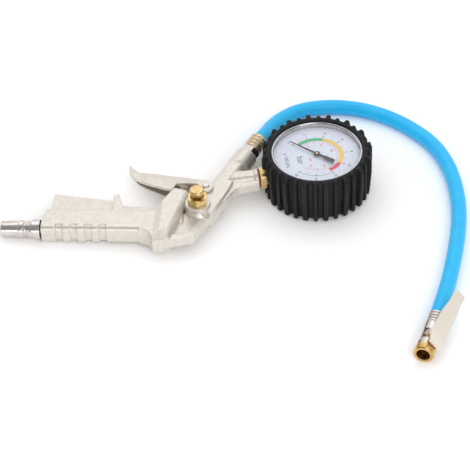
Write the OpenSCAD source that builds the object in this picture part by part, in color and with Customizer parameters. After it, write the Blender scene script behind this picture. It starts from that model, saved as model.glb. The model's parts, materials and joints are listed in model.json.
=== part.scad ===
// Tyre inflator with a dial gauge, hose and clip-on chuck. Millimetres.
// The gun is drawn flat: x runs along the grip to the head, y to the trigger side, z is
// square to the gun's middle plane. lay_down() then rests it on the table.

/* [Grip] */
// Length of the grip
grip_len = 74; // [66:1:84]
// Grip from the inlet's axis to its finger side
grip_near = 6.4; // [6.2:0.1:9]
// Grip from the inlet's axis to its guard side
grip_far = 12; // [10:0.5:14]
// Thickness of the grip
grip_thick = 14; // [13.4:0.2:16]
// Rounding along the finger side
grip_round = 3; // [2:0.5:5]
// Rounding along the guard side
grip_back_round = 1; // [0.5:0.25:2]
// Lean of the grip's end beside the inlet
end_lean = 2.2; // [0:0.2:3]
// Number of finger notches
notch_count = 4; // [2:1:5]
// Distance from one finger notch to the next
notch_pitch = 9.55; // [8:0.05:11]
// First finger notch from the grip's end
notch_first = 12; // [8:0.5:14]
// Width of a finger notch
notch_w = 4.6; // [3:0.1:6]
// Depth of a finger notch
notch_depth = 0.9; // [0.4:0.1:1.4]

/* [Guard fin and peg] */
// Thickness of the guard fin
fin_thick = 5; // [3:0.5:8]
// Height of the fin over the grip at the inlet end
fin_high = 19.5; // [14:0.5:22]
// Height of the fin over the grip in front of the peg
fin_low = 12.6; // [8:0.2:14]
// Height of the fin over the grip behind the peg
fin_tail = 8.7; // [7:0.1:10]
// Where the fin starts on the grip
fin_start = 4; // [2:0.5:8]
// Middle of the peg along the grip
peg_x = 47.3; // [44:0.1:52]
// Height of the peg over the grip
peg_high = 15; // [13:0.2:18]
// How far the peg's root reaches behind its tip
peg_flare = 4.6; // [2:0.2:6]
// Width of the peg at its tip
peg_tip_w = 3.8; // [2:0.2:5]

/* [Valve arm] */
// Middle of the arm's open end along the grip
arm_x = 89; // [86:0.5:90]
// Middle of the arm's open end across the grip
arm_y = 31; // [30:0.5:33]
// Direction of the arm, in degrees from the grip
arm_angle = 75.6; // [72:0.2:78]
// Width of the arm
arm_w = 14.5; // [13.5:0.5:16]
// Thickness of the arm
arm_thick = 17; // [16:0.5:18]
// Rounding of the arm's edges on the tube's side
arm_round = 5; // [3:0.5:6]
// Half width of the arm's end on the grip's side
arm_end_w = 4.3; // [4.2:0.1:6]
// Length of the ramp from the grip up to the arm
ramp_len = 4.5; // [3:0.5:6]
// Depth of the arm's foot below the inlet's axis
foot_y = 16; // [14:0.5:18]
// Thickness of the arm's foot
foot_thick = 11; // [9:0.5:13]

/* [Web] */
// Thickness of the bars round the web
bar_thick = 7; // [5:0.5:9]
// Width of the lower bar
bar_w = 4.4; // [3:0.2:8]
// Width of the bar beside the delivery tube
side_bar_w = 3.4; // [2:0.2:5]
// Thickness of the web between the bars
web_thick = 2.4; // [1.6:0.2:4]
// Width of the small rib on the web
rib_w = 2; // [1:0.2:3]

/* [Delivery tube and neck] */
// Start of the tube's axis along the grip
tube_x = 102; // [100:0.5:104]
// Start of the tube's axis across the grip
tube_y = 13; // [12:0.5:14]
// Direction of the tube, in degrees from the grip
tube_angle = 64.6; // [62:0.2:67]
// Length of the tube from there to the hose end
tube_len = 67; // [62:0.5:74]
// Radius of the tube
tube_r = 7.25; // [6.8:0.05:8]
// Height of the tube's flat faces over the middle plane
tube_flat = 6.5; // [6:0.1:7]
// Radius of the hose socket
socket_r = 7.75; // [7.5:0.05:9]
// Length of the hose socket
socket_len = 14; // [12:0.5:18]
// Start of the gauge neck along the tube
neck_from = 37.5; // [35:0.5:40]
// Direction of the neck, in degrees from the grip
neck_angle = 11; // [6:0.5:16]
// Radius of the neck
neck_r = 6.4; // [6.2:0.05:7.4]
// Radius of the collar at the neck's end
neck_collar_r = 7; // [6.8:0.1:8]
// Length of the neck
neck_len = 22.3; // [18:0.1:30]

/* [Air ways] */
// Radius of the long air way in the grip
grip_bore_r = 3.2; // [2:0.1:3.6]
// Radius of the air ways in the tube and neck
tube_bore_r = 2.5; // [1.5:0.1:2.7]
// Radius of the gallery from valve to tube
gallery_r = 2; // [1.2:0.1:2.4]
// Radius of the inlet thread
inlet_thread_r = 5.1; // [4.5:0.1:5.6]
// Depth of the inlet thread
inlet_thread_len = 12; // [8:0.5:16]
// Radius of the hose and gauge threads
small_thread_r = 4.85; // [4.4:0.05:5.2]
// Depth of the hose and gauge threads
small_thread_len = 9; // [7:0.5:10]

/* [Inlet plug] */
// Length of the plug outside the grip
plug_len = 27.2; // [24:0.2:32]
// Radius of the plug's sealing land
plug_land_r = 6; // [5.4:0.1:6.4]
// Radius of the plug's tip
plug_tip_r = 5.3; // [4.5:0.1:5.4]
// Radius of the plug's collar
plug_collar_r = 6.5; // [6.2:0.1:6.8]
// Radius of the plug's air way
plug_bore_r = 3.4; // [2:0.1:3.8]
// Thickness of the washer under the plug
washer_thick = 1; // [0.6:0.1:2]

/* [Main valve] */
// Radius of the brass valve cartridge
gland_r = 3.65; // [3.3:0.05:4]
// Height of the cartridge over the arm
gland_head = 2.3; // [1.5:0.1:3]
// Depth of the cartridge in the arm
gland_depth = 20; // [18:0.5:24]
// Radius of the valve stem
stem_r = 1.5; // [1.2:0.05:1.6]
// Stem over the cartridge at rest
stem_out = 5; // [4.6:0.1:6]
// Radius of the poppet
poppet_r = 3; // [2.8:0.1:3.2]
// Thickness of the poppet and of its rubber face
poppet_thick = 1.5; // [1:0.1:2]
// Depth of the valve chamber in the arm
chamber_depth = 38; // [34:0.5:40]

/* [Trigger] */
// Pivot along the grip
pivot_x = 106.1; // [105.5:0.1:107]
// Pivot across the grip
pivot_y = 33.8; // [33:0.1:35]
// Radius of the trigger's eyes
eye_r = 5.1; // [4:0.1:5.6]
// Wall of the trigger
trigger_wall = 2; // [1.4:0.1:2.4]
// Half of the trigger's width at the eyes
trigger_half = 8.8; // [8.7:0.1:10]
// Radius of the trigger pin
pin_r = 1.5; // [1.2:0.05:1.6]
// Radius of the trigger pin's head
pin_head_r = 2.5; // [2:0.1:3.5]

/* [Bleed valve] */
// Bleed valve along the grip
bleed_x = 101.8; // [100:0.2:102]
// Bleed valve across the grip
bleed_y = 17; // [15.6:0.2:17.6]
// Radius of the boss round the bleed valve
boss_r = 8.2; // [7.8:0.1:9]
// Height of the boss over the middle plane
boss_top = 9.5; // [8.6:0.1:10.5]
// Bleed housing's hexagon across its corners
hex_corners = 14.1; // [12.5:0.1:16]
// Height of the hexagon
hex_high = 5; // [4:0.2:6]
// Radius of the housing's thread
bleed_thread_r = 4.3; // [4:0.1:5]
// Radius of the button's top
button_r = 4.8; // [4:0.1:5]
// Radius of the button's lower end
button_foot_r = 3.5; // [3.2:0.1:3.8]
// Top of the button over the hexagon
button_high = 6.5; // [5:0.1:8]
// Radius of the button's stem
button_stem_r = 1.25; // [0.9:0.05:1.4]
// Height of the bleed seat over the middle plane
bleed_seat = 3; // [2.4:0.1:3.6]

/* [Gauge body] */
// Radius of the gauge case
case_r = 30.5; // [29:0.25:32]
// Wall of the gauge case
case_wall = 1; // [0.6:0.1:1.6]
// Reach of the bezel over the dial, in from the case
bezel_reach = 1.75; // [1.5:0.05:2.4]
// Thickness of the bezel
bezel_thick = 0.6; // [0.4:0.1:1]
// Thickness of the lens
lens_thick = 1.2; // [0.8:0.1:2]
// Height of the dial's face over the middle plane
dial_top = 13.5; // [13:0.1:14]
// Thickness of the dial
dial_thick = 0.6; // [0.4:0.1:1]
// Space between dial and lens
dial_space = 2.7; // [2.6:0.1:4]
// Width of the brass square across its faces
square_w = 11; // [9.8:0.1:12]
// Length of the brass square
square_len = 5; // [4:0.1:6]
// Gap between the guard's wall and the brass square
square_gap = 0.1; // [0:0.1:1]

/* [Rubber guard] */
// Thickness of the guard's wall round the gauge case
guard_wall = 3.3; // [2.6:0.1:4]
// Height of a tall tooth over the wall
tooth_high = 3.5; // [2.2:0.1:5]
// Height of a short tooth over the wall
tooth_short_high = 2.1; // [1.2:0.1:3]
// Number of teeth, tall and short in turn
tooth_count = 32; // [24:2:40]
// Width of a tall tooth
tooth_w = 3.1; // [2:0.1:3.6]
// Width of a short tooth
tooth_short_w = 2.6; // [1.6:0.1:3.2]
// Bottom of the guard under the middle plane
guard_below = 13; // [12:0.5:15]
// Thickness of the guard's floor
guard_floor = 2.6; // [1.6:0.1:3]
// Height of the guard's lip over the bezel
lip_high = 1.2; // [0.8:0.1:2]
// Depth of the guard's straight outline from its top
guard_straight = 13; // [11:0.5:15]
// Taper of the guard's outline down to its foot
guard_taper = 1.6; // [0:0.2:2.4]
// Radius of the round opening in the guard's floor
guard_back_r = 18; // [8:1:24]

/* [Movement] */
// Gear module of the sector and pinion
gear_module = 0.5; // [0.45:0.01:0.55]
// Teeth on the pinion
pinion_teeth = 8; // [8:1:8]
// Teeth on a full circle of the sector
sector_teeth = 56; // [56:1:56]
// Turn of the pointer from zero to full scale
pointer_sweep = 270; // [240:5:280]
// Thickness of the sector
sector_thick = 1.4; // [1:0.1:1.8]
// Radius of the pointer's and sector's arbors
arbor_r = 0.7; // [0.5:0.05:0.8]
// Radius of the bent Bourdon tube
bourdon_r = 23; // [22:0.25:24]
// Height of the Bourdon tube's section
bourdon_high = 6.5; // [5:0.25:7]
// Width of the Bourdon tube's section
bourdon_w = 2.2; // [1.6:0.1:2.6]
// Length of the pointer's thin end
pointer_len = 23.2; // [20:0.2:25]
// Length of the pointer's tail
pointer_tail = 13.9; // [8:0.1:15]
// Scale zero, in degrees from the axis that leads away from the neck
zero_angle = 135; // [120:1:150]

/* [Hose and fittings] */
// Diameter of the hose
hose_d = 10.25; // [9:0.25:10.25]
// Radius of the ferrule on the gun
ferrule_r = 6.4; // [6.1:0.1:7.2]
// Length of the ferrule on the gun
ferrule_len = 13; // [11:0.5:18]
// Length of the nipple's hexagon
nipple_hex_len = 5.5; // [4:0.5:8]
// Nipple's hexagon across its corners
nipple_corners = 14; // [12.5:0.1:15]

/* [Chuck] */
// Length of the chuck with its ferrule
chuck_len = 35.2; // [33:0.2:44]
// Radius of the chuck's brass mouth
mouth_r = 6.5; // [5.8:0.1:7]
// Length of the brass mouth
mouth_len = 5; // [3.5:0.5:7]
// Radius of the chuck's socket for a tyre valve
valve_socket_r = 4.4; // [4:0.05:4.6]
// Depth of that socket
valve_socket_len = 9; // [8:0.5:11]
// Thickness of the seal at the bottom of the socket
chuck_seal_thick = 3; // [2:0.25:4]
// Radius of the steel sleeve
sleeve_r = 6.1; // [5.9:0.1:6.6]
// Wall of the steel sleeve
sleeve_wall = 0.85; // [0.6:0.05:0.9]
// Length of the steel sleeve
sleeve_len = 20; // [19.5:0.5:24]
// Number of notches in the sleeve's crown
crown_count = 6; // [4:1:8]
// Roll of the thumb lever about the chuck
flag_roll = 45; // [30:1:60]
// Slope of the thumb lever's flag
flag_slope = 12; // [10:1:24]
// Thickness of the thumb lever
flag_thick = 1.2; // [0.8:0.1:1.6]
// Width of the thumb lever at its middle
flag_w = 11.2; // [11:0.1:12.4]
// Width of the flag's far end
flag_end_w = 8.4; // [6:0.2:10]
// Width of the thumb lever at the crown
flag_jaw_w = 8.8; // [8:0.2:10]
// Where the flag ends along the chuck
flag_end = 49; // [42:0.5:50]
// Pivot of the thumb lever from the chuck's mouth
flag_pivot = 14; // [13:0.25:16]
// Radius of the thumb lever's pin
flag_pin_r = 1; // [0.8:0.05:1.2]

/* [Fits] */
// Gap round a turning or sliding piece
run_clear = 0.05; // [0.02:0.01:0.08]
// Gap round a piece that is screwed or pressed in place
seat_clear = 0.05; // [0.02:0.01:0.08]

/* [Hidden] */
$fn = 64;
cast_colour = [0.9, 0.87, 0.83];
brass_colour = [0.86, 0.72, 0.42];
steel_colour = [0.78, 0.76, 0.75];
rubber_colour = [0.15, 0.15, 0.17];
spring_colour = [0.6, 0.6, 0.62];
hose_colour = [0.2, 0.72, 0.97];
far = 200;         // longer than any cut needs
eps = 0.01;        // overlap that joins two pieces of one casting
pilot = 0.5;       // depth of small chamfers

// Resting: the grip's end and the guard's foot touch the table
guard_root_r = case_r + guard_wall;
square_from = guard_root_r + square_gap + square_len;
gauge_from = neck_len + washer_thick + square_from;
gauge_mid = concat(tip_of([tube_x, tube_y], tube_angle, neck_from), 0) +
            [gauge_from * cos(neck_angle), gauge_from * sin(neck_angle), 0];
guard_r = guard_root_r + tooth_high;
guard_short_r = guard_root_r + tooth_short_high;
guard_foot_r = guard_r - guard_taper;
rest_drop = guard_below - grip_thick / 2;
rest_span = gauge_mid.x - guard_foot_r;
tilt = atan(rest_drop / rest_span);
rest_lift = grip_thick / 2 * cos(tilt);
// Middle of the gun's outline on the table
socket_end = concat(tip_of([tube_x, tube_y], tube_angle, tube_len), 0);
ferrule_end = tip_of([socket_end.x, socket_end.y], tube_angle, nipple_hex_len + ferrule_len);
mid_x = (laid([gauge_mid.x + guard_r, 0, 0]).x + laid([-plug_len, 0, plug_tip_r]).x) / 2;
mid_y = (ferrule_end.y + ferrule_r * cos(tube_angle) - foot_y) / 2;

// Arm
arm_end = [arm_x, arm_y, 0];
gallery_depth = (arm_y - bleed_y) / sin(arm_angle);
inlet_meets_x = arm_x - arm_y / tan(arm_angle);

// Main valve
chamber_r = gland_r + seat_clear;
ring_wire = 0.6;
ring_depths = [gallery_depth - 5, gallery_depth + 3.4];
guide_len = 6;

// Trigger stations along the grip: distance before the pivot, then back edge, crease and
// free edge over the pivot, half width, and whether the section is solid
trigger_stations = [
    [-54.3, 29.0, 27.6, 26.0, 1.2, true], [-53.6, 28.4, 26.0, 22.7, 1.6, true],
    [-52.3, 26.8, 23.4, 18.4, 1.8, true], [-50.2, 24.2, 21.2, 15.6, 1.95, true],
    [-47.8, 21.4, 19.4, 12.7, 2.1, true], [-47.0, 21.0, 19.0, 11.9, 2.15, false],
    [-45.8, 20.6, 18.4, 10.9, 2.25, false], [-44.0, 19.9, 17.2, 9.6, 2.6, false],
    [-41.0, 18.9, 15.4, 8.0, 3.35, false], [-38.0, 18.3, 13.6, 6.4, 3.7, false],
    [-34.0, 17.6, 11.8, 4.5, 4.05, false], [-27.0, 15.8, 8.9, 1.3, 4.5, false],
    [-23.2, 14.8, 7.4, 0.3, 4.8, false], [-20.2, 13.9, 6.9, 6.0, 5.3, false],
    [-15.0, 12.4, 5.9, 5.1, 6.2, false], [-10.8, 10.6, 5.0, 3.9, 7.4, false],
    [-6.0, 8.5, 5.0, 1.9, 8.8, false], [-1.6, 6.9, 5.6, 0.2, 8.8, false]];

// Gauge
case_top = dial_top + dial_space;
case_floor = -guard_below + guard_floor + seat_clear;
lens_top = case_top + lens_thick;
bezel_top = lens_top + bezel_thick;
bezel_r = case_r + bezel_thick + 2 * seat_clear;
sight_r = case_r - bezel_reach;
bezel_skirt = 6;
guard_top = bezel_top + lip_high;
guard_lip_r = case_r - 0.5;
stem_hole_r = 8.6;

// Movement, seen from the dial: pinion on the middle, sector pivot to one side of the neck
plate_thick = 1;
plate_low = 3.5;
plate_gap = 5;
plate_high = plate_low + plate_thick + plate_gap;
gear_low = plate_low + plate_thick + 1.4;
pinion_pitch_r = gear_module * pinion_teeth / 2;
sector_pitch_r = gear_module * sector_teeth / 2;
gear_span = pinion_pitch_r + sector_pitch_r;
gear_slack = 0.1;
sector_bearing = 210;
sector_at = gear_span * [cos(sector_bearing), sin(sector_bearing), 0];
sector_swing = pointer_sweep * pinion_teeth / sector_teeth;
block_in = 15;
block_w = 11;
block_low = -5;
bourdon_root_angle = 179;
bourdon_tip_angle = -97;
tip_pin = (bourdon_r - 3.4) * [cos(bourdon_tip_angle), sin(bourdon_tip_angle), 0];
tail_len = 6;
tail_angle = -62;
tail_pin = sector_at + tail_len * [cos(tail_angle), sin(tail_angle), 0];
link_low = gear_low + sector_thick + 0.3;
link_thick = 0.8;
pointer_low = dial_top + 1.7;
pointer_thick = 0.4;

// Chuck: its axis rises out of the mouth into the hose
chuck_mouth = [248.6, -98.9, mouth_r];
chuck_angle = 74.6;
chuck_hose_end = mouth_len + sleeve_len + 1;
sleeve_bore_r = sleeve_r - sleeve_wall;
body_r = sleeve_bore_r - seat_clear;
flag_low = sleeve_r + 1.3;
flag_front = mouth_len - 0.6;
flag_pin_y = 4.2;
ear_in = flag_w / 2 - flag_thick;
bend_at = 16;
flag_rise = (flag_end - bend_at) * tan(flag_slope);
flag_taper = 31;
flag_spring_at = 22.9;

// Route of the hose on the table, from the grip's end like the gun
nipple_face = laid(concat(tip_of([socket_end.x, socket_end.y], tube_angle, nipple_hex_len), 0));
ferrule_mouth = laid(concat(ferrule_end, 0));
chuck_face = concat(tip_of([chuck_mouth.x, chuck_mouth.y], chuck_angle, chuck_hose_end),
                    chuck_mouth.z);
chuck_end = concat(tip_of([chuck_mouth.x, chuck_mouth.y], chuck_angle, chuck_len), chuck_mouth.z);
hose_low = hose_d / 2;
hose_lay = [
    [142, 98, 11.5], [147, 110.5, 9], [155, 122.5, 7], [166, 132, 5.6], [181, 137, hose_low],
    [199, 137.5, hose_low], [216, 133.5, hose_low], [232, 125.5, hose_low], [246, 114.5, hose_low],
    [257.5, 101.5, hose_low], [265.5, 86, hose_low], [270.5, 69, hose_low], [273.2, 51, hose_low],
    [274, 33, hose_low], [273, 15, hose_low], [270.8, -3, hose_low], [267.9, -21, hose_low],
    [264.6, -38, 5.4], [261.2, -52, 6]];
hose_route = concat([nipple_face, ferrule_mouth], hose_lay, [chuck_end, chuck_face]);
hose_sides = 12;

// ---- Places ----

// A point some way along a direction in the gun's plane
function tip_of(from, angle, len) = [from.x + len * cos(angle), from.y + len * sin(angle)];

// Where a point of the gun lies once the gun rests on the table
function laid(p) = [p.x * cos(tilt) - p.z * sin(tilt), p.y,
                    p.x * sin(tilt) + p.z * cos(tilt) + rest_lift];

module on_table() { translate([-mid_x, -mid_y, 0]) children(); }

module lay_down() { on_table() translate([0, 0, rest_lift]) rotate([0, -tilt, 0]) children(); }

// Turns z along a direction in the plane, x to its left and y up
module along(from, angle) { translate(from) rotate([90, 0, 90 + angle]) children(); }

module in_arm() { along(arm_end, arm_angle) children(); }

module in_tube(from = 0) { along([tube_x, tube_y, 0], tube_angle) translate([0, 0, from]) children(); }

module in_neck(from = 0) {
    along(concat(tip_of([tube_x, tube_y], tube_angle, neck_from), 0), neck_angle)
        translate([0, 0, from]) children();
}

module in_bleed() { translate([bleed_x, bleed_y, 0]) children(); }

module in_pivot() { translate([pivot_x, pivot_y, 0]) children(); }

module in_gauge() { translate(gauge_mid) rotate(neck_angle) children(); }

module in_chuck() { on_table() along(chuck_mouth, chuck_angle) children(); }

module in_flag() { in_chuck() rotate(flag_roll) children(); }

// ---- Shapes ----

// Rod or tube along z between two heights
module ring(r, low, high, bore = 0) {
    translate([0, 0, low]) linear_extrude(high - low) difference() {
        circle(r);
        if (bore > 0) circle(bore);
    }
}

module slab(low, high) { translate([0, 0, low]) linear_extrude(high - low) children(); }

// Hexagon along z with its corners turned down by a cone
module hexagon(corners, low, high) {
    intersection() {
        translate([0, 0, low]) cylinder(d = corners, h = high - low, $fn = 6);
        rotate_extrude() polygon([[0, low], [corners * 0.46, low], [corners / 2, low + corners * 0.03],
            [corners / 2, high - corners * 0.03], [corners * 0.46, high], [0, high]]);
    }
}

// Rectangle with its own rounding on the low and high side of x
module rounded(x0, x1, y_half, r0, r1) {
    translate([x0 + r0, -y_half]) square([x1 - x0 - r0 - r1, 2 * y_half]);
    for (s = [-1, 1]) {
        translate([x0 + r0, s * (y_half - r0)]) circle(r0);
        translate([x1 - r1, s * (y_half - r1)]) circle(r1);
    }
    translate([x0, -(y_half - r0)]) square([r0, 2 * (y_half - r0)]);
    translate([x1 - r1, -(y_half - r1)]) square([r1, 2 * (y_half - r1)]);
}

// Skin over rings of points that follow each other; cap lists the faces that close an end
module skin(rings, cap = undef) {
    n = len(rings[0]);
    last = (len(rings) - 1) * n;
    closed = is_undef(cap) ? [[for (k = [0:n - 1]) k]] : cap;
    points = [for (r = rings, p = r) p];
    sides = [for (i = [0:len(rings) - 2], k = [0:n - 1]) let (a = i * n + k, b = i * n + (k + 1) % n)
        each [[a, b + n, b], [a, a + n, b + n]]];
    polyhedron(points, concat(closed, sides,
        [for (f = closed) [for (k = [len(f) - 1:-1:0]) last + f[k]]]));
}

// Round rings of points square to a path
function unit(v) = v / norm(v);
function heading(path, i) = i == 0 ? unit(path[1] - path[0]) :
    i == len(path) - 1 ? unit(path[i] - path[i - 1]) :
        unit(unit(path[i + 1] - path[i]) + unit(path[i] - path[i - 1]));
function tube_rings(path, r, sides) = [for (i = [0:len(path) - 1])
    let (d = heading(path, i), u = unit(cross(d, [0, 0, 1])), v = cross(d, u))
    [for (k = [0:sides - 1]) path[i] + r * (cos(k * 360 / sides) * u + sin(k * 360 / sides) * v)]];

// Wire spring along z, one unbroken curl; prints the least gap from one turn to the next
module coil(r, wire, low, high, turns) {
    steps = 8;
    rise = high - low - 2 * wire;
    middles = [for (i = [0:turns * steps]) let (a = i * 360 / steps)
        [r * cos(a), r * sin(a), low + wire + rise * i / (turns * steps)]];
    echo(least_gap = min([for (i = [0:len(middles) - steps],
        j = [i + steps - 1:min(i + steps + 1, len(middles) - 1)])
        norm(middles[i] - middles[j])]) - 2 * wire);
    skin([for (i = [0:len(middles) - 1]) let (a = i * 360 / steps)
        [for (k = [0:5]) let (b = -k * 60, out = wire * cos(b)) middles[i] +
            [out * cos(a), out * sin(a), wire * sin(b)]]]);
}

// ---- Cast body ----

module grip_section(inset = 0) {
    rounded(-grip_near + inset, grip_far - inset, grip_thick / 2 - inset, grip_round, grip_back_round);
}

module grip_casting() {
    difference() {
        intersection() {
            rotate([90, 0, 90]) linear_extrude(grip_len + eps) grip_section();
            slab(-far, far) polygon([[0, -far], [0, 1], [end_lean, grip_far], [end_lean, far],
                [far, far], [far, -far]]);
        }
        for (i = [0:notch_count - 1]) finger_notch(notch_first + i * notch_pitch);
    }
}

// Scooped band round the finger side
module finger_notch(x) {
    translate([x - notch_w / 2, 0, 0]) rotate([90, 0, 90]) linear_extrude(notch_w) difference() {
        translate([-grip_near - 1, -grip_thick]) square([grip_near - 1, 2 * grip_thick]);
        grip_section(notch_depth);
    }
}

module guard_fin() {
    slope = (fin_high - fin_low) / (peg_x - fin_start);
    slab(-fin_thick / 2, fin_thick / 2) polygon([
        [fin_start, grip_far - 1], [fin_start + 1, grip_far + fin_high],
        [peg_x, grip_far + fin_high - slope * (peg_x - fin_start)],
        [peg_x, grip_far + fin_tail], [grip_len, grip_far + fin_tail - 2.6],
        [grip_len + ramp_len + 1, grip_far + fin_tail - 2.6], [grip_len + 1, grip_far - 1]]);
}

module guard_peg() {
    tip = grip_far + peg_high;
    slab(-grip_thick / 2, grip_thick / 2) polygon([
        [peg_x - peg_tip_w / 2 + pilot, grip_far - 1], [peg_x + peg_tip_w / 2 + peg_flare, grip_far - 1],
        [peg_x + peg_tip_w / 2, tip - pilot], [peg_x + peg_tip_w / 2 - pilot, tip],
        [peg_x - peg_tip_w / 2 + pilot, tip], [peg_x - peg_tip_w / 2, tip - pilot]]);
}

// Arm that carries the valve: its faces rise from the grip by a ramp, flush over its foot
module valve_arm() {
    flare = foot_y - grip_near - 0.5;
    heel = [arm_x + arm_w / 2 / sin(arm_angle) - (arm_y + foot_y - 3.5) / tan(arm_angle), 3.5 - foot_y];
    ramp = (arm_thick - grip_thick) / 2 / ramp_len;
    taper = (arm_thick - foot_thick) / 2 / 9;
    intersection() {
        slab(-far, far) difference() {
            polygon([[grip_len - flare, 0], [grip_len - flare, -grip_near - 0.001], [grip_len, -foot_y + 0.5],
                [grip_len + 1, -foot_y], [grip_len + 6.4, -foot_y + 0.2], heel,
                tip_of(arm_end, arm_angle - 90, arm_w / 2), tip_of(arm_end, arm_angle + 90, arm_end_w),
                [grip_len + 4.7, grip_far + 8.5], [grip_len, grip_far]]);
            translate([grip_len - flare, -foot_y + 0.5]) circle(flare);
        }
        rotate([90, 0, 0]) translate([0, 0, -far / 2]) linear_extrude(far) polygon([
            [0, -grip_thick / 2], [grip_len, -grip_thick / 2],
                [far, -grip_thick / 2 - ramp * (far - grip_len)],
            [far, grip_thick / 2 + ramp * (far - grip_len)], [grip_len, grip_thick / 2],
                [0, grip_thick / 2]]);
        rotate([90, 0, 90]) linear_extrude(far) polygon([
            [-foot_y - 1, -foot_thick / 2 + taper], [far, -foot_thick / 2 - taper * (far + foot_y)],
            [far, foot_thick / 2 + taper * (far + foot_y)], [-foot_y - 1, foot_thick / 2 - taper]]);
        in_arm() translate([0, 0, -far / 2]) linear_extrude(far)
            rounded(-arm_w / 2, far, arm_thick / 2, arm_round, 1);
    }
}

// Bars and thin web that brace the arm, the boss and the tube
bar_knee = [98, -10];
bar_turn = [100.5, -9.2];
side_end = [124, 34.5];
gusset_end = tip_of([gauge_mid.x, gauge_mid.y], neck_angle, -(gauge_from - neck_len)) + [1.4, -8.4];

module web() {
    slab(-bar_thick / 2, bar_thick / 2) {
        polygon([[grip_len + 4, -foot_y + 0.2], bar_knee, bar_turn, bar_turn + [1, bar_w + 1],
            bar_knee + [0, bar_w], [grip_len + 6, -foot_y + bar_w + 3.3]]);
        polygon([bar_turn, side_end, side_end + [-side_bar_w - 4, 2], bar_turn + [-side_bar_w, bar_w - 1]]);
        polygon([side_end + [-5, 0], side_end, side_end + [3.2, 3.4], gusset_end, gusset_end + [-1, 5],
            side_end + [-5, 8]]);
    }
    slab(-web_thick / 2, web_thick / 2)
        polygon([[grip_len + 7, -foot_y + 6], bar_knee, side_end, [bleed_x, bleed_y],
            [grip_len + 12, bleed_y + 6]]);
    slab(-bar_thick / 2 + 0.8, bar_thick / 2 - 0.8)
        translate([bleed_x - 10.6 - rib_w / 2, bleed_y - 12]) square([rib_w, 12]);
    // Plate that widens the tube towards the side bar
    slab(-tube_flat, tube_flat) translate([tube_x, tube_y]) polygon([
        [0, 0], [8.7, -4.1], [19.5, 21.7], [21.6, 29.1], tip_of([0, 0], tube_angle, 33)]);
}

// Fairing from the boss down to a corner on the web
module boss_foot() {
    hull() {
        in_bleed() ring(boss_r - 0.5, -5, 5);
        slab(-1.8, 1.8) translate([bleed_x, bleed_y]) polygon([[-8.2, -3.3], [1.5, -11.8], [8.6, -5.5]]);
    }
}

module bleed_boss() { in_bleed() ring(boss_r, -boss_top + 2, boss_top); }

module delivery_tube() {
    intersection() {
        union() {
            in_tube() ring(tube_r, -3, tube_len - socket_len + 1);
            in_tube(-3) rotate_extrude() polygon([[0, -2], [tube_r - 2.5, -2], [tube_r, 0], [0, 0]]);
        }
        cube([2 * far, 2 * far, 2 * tube_flat], center = true);
    }
    in_tube(tube_len - socket_len) rotate_extrude() polygon([[0, -2], [tube_r - 0.8, -2], [socket_r, 1.4],
        [socket_r, socket_len - pilot], [socket_r - pilot, socket_len], [0, socket_len]]);
}

module pivot_boss() {
    in_pivot() ring(eye_r - 1, -tube_flat, tube_flat);
}

module gauge_neck() {
    intersection() {
        in_neck() ring(neck_r, 0, neck_len - 2);
        cube([2 * far, 2 * far, 2 * (neck_r - 0.5)], center = true);
    }
    in_neck(neck_len) rotate_extrude() polygon([[0, -4], [neck_r - 0.6, -4], [neck_collar_r, -2.4],
        [neck_collar_r, -pilot], [neck_collar_r - pilot, 0], [0, 0]]);
}

module air_ways() {
    rotate([0, 90, 0]) {
        ring(inlet_thread_r + seat_clear, -1, inlet_thread_len);
        ring(grip_bore_r, 0, inlet_meets_x);
    }
    in_arm() ring(chamber_r, -chamber_depth, 1);
    translate([arm_x - gallery_depth * cos(arm_angle), bleed_y, 0]) rotate([0, 90, 0])
        ring(gallery_r, 0, tube_x + 2 - arm_x + gallery_depth * cos(arm_angle));
    in_bleed() {
        ring(bleed_thread_r + seat_clear, bleed_seat, far);
        ring(bleed_thread_r - 0.7, -4, bleed_seat + eps);
    }
    in_tube() ring(tube_bore_r, 0, tube_len + 1);
    in_tube(tube_len) ring(small_thread_r + seat_clear, -small_thread_len - 1, 1);
    in_neck() ring(tube_bore_r, 0, neck_len + 1);
    in_neck(neck_len) ring(small_thread_r + seat_clear, -small_thread_len - 1, 1);
    in_pivot() ring(pin_r + run_clear, -far, far);
}

module cast_body() {
    color(cast_colour) lay_down() difference() {
        union() {
            grip_casting();
            guard_fin();
            guard_peg();
            valve_arm();
            web();
            boss_foot();
            bleed_boss();
            delivery_tube();
            pivot_boss();
            gauge_neck();
        }
        air_ways();
    }
}

// ---- Inlet ----

module inlet_plug() {
    color(steel_colour) lay_down() rotate([0, -90, 0]) difference() {
        rotate_extrude() polygon([
            [0, -inlet_thread_len + 1], [inlet_thread_r - 0.8, -inlet_thread_len + 1],
            [inlet_thread_r, -inlet_thread_len + 1.8], [inlet_thread_r, washer_thick],
            [plug_collar_r, washer_thick], [plug_collar_r, 6], [plug_collar_r - 0.9, 7.6],
            [plug_land_r - 0.6, 9.4], [plug_land_r - 1.1, 10], [plug_land_r - 1.1, 11.2],
            [plug_land_r - 0.2, 12], [plug_land_r, 12.4], [plug_land_r, 14.6],
            [plug_land_r - 0.4, 15.2], [plug_land_r - 0.4, 18], [plug_tip_r, plug_len - 3],
            [plug_tip_r, plug_len - 0.6], [plug_tip_r - 0.6, plug_len], [0, plug_len]]);
        ring(plug_bore_r, -far, far);
    }
}

module inlet_washer() {
    color(rubber_colour) lay_down() rotate([0, -90, 0])
        ring(plug_collar_r - 0.5, 0, washer_thick, inlet_thread_r + seat_clear);
}

// ---- Trigger ----

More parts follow.
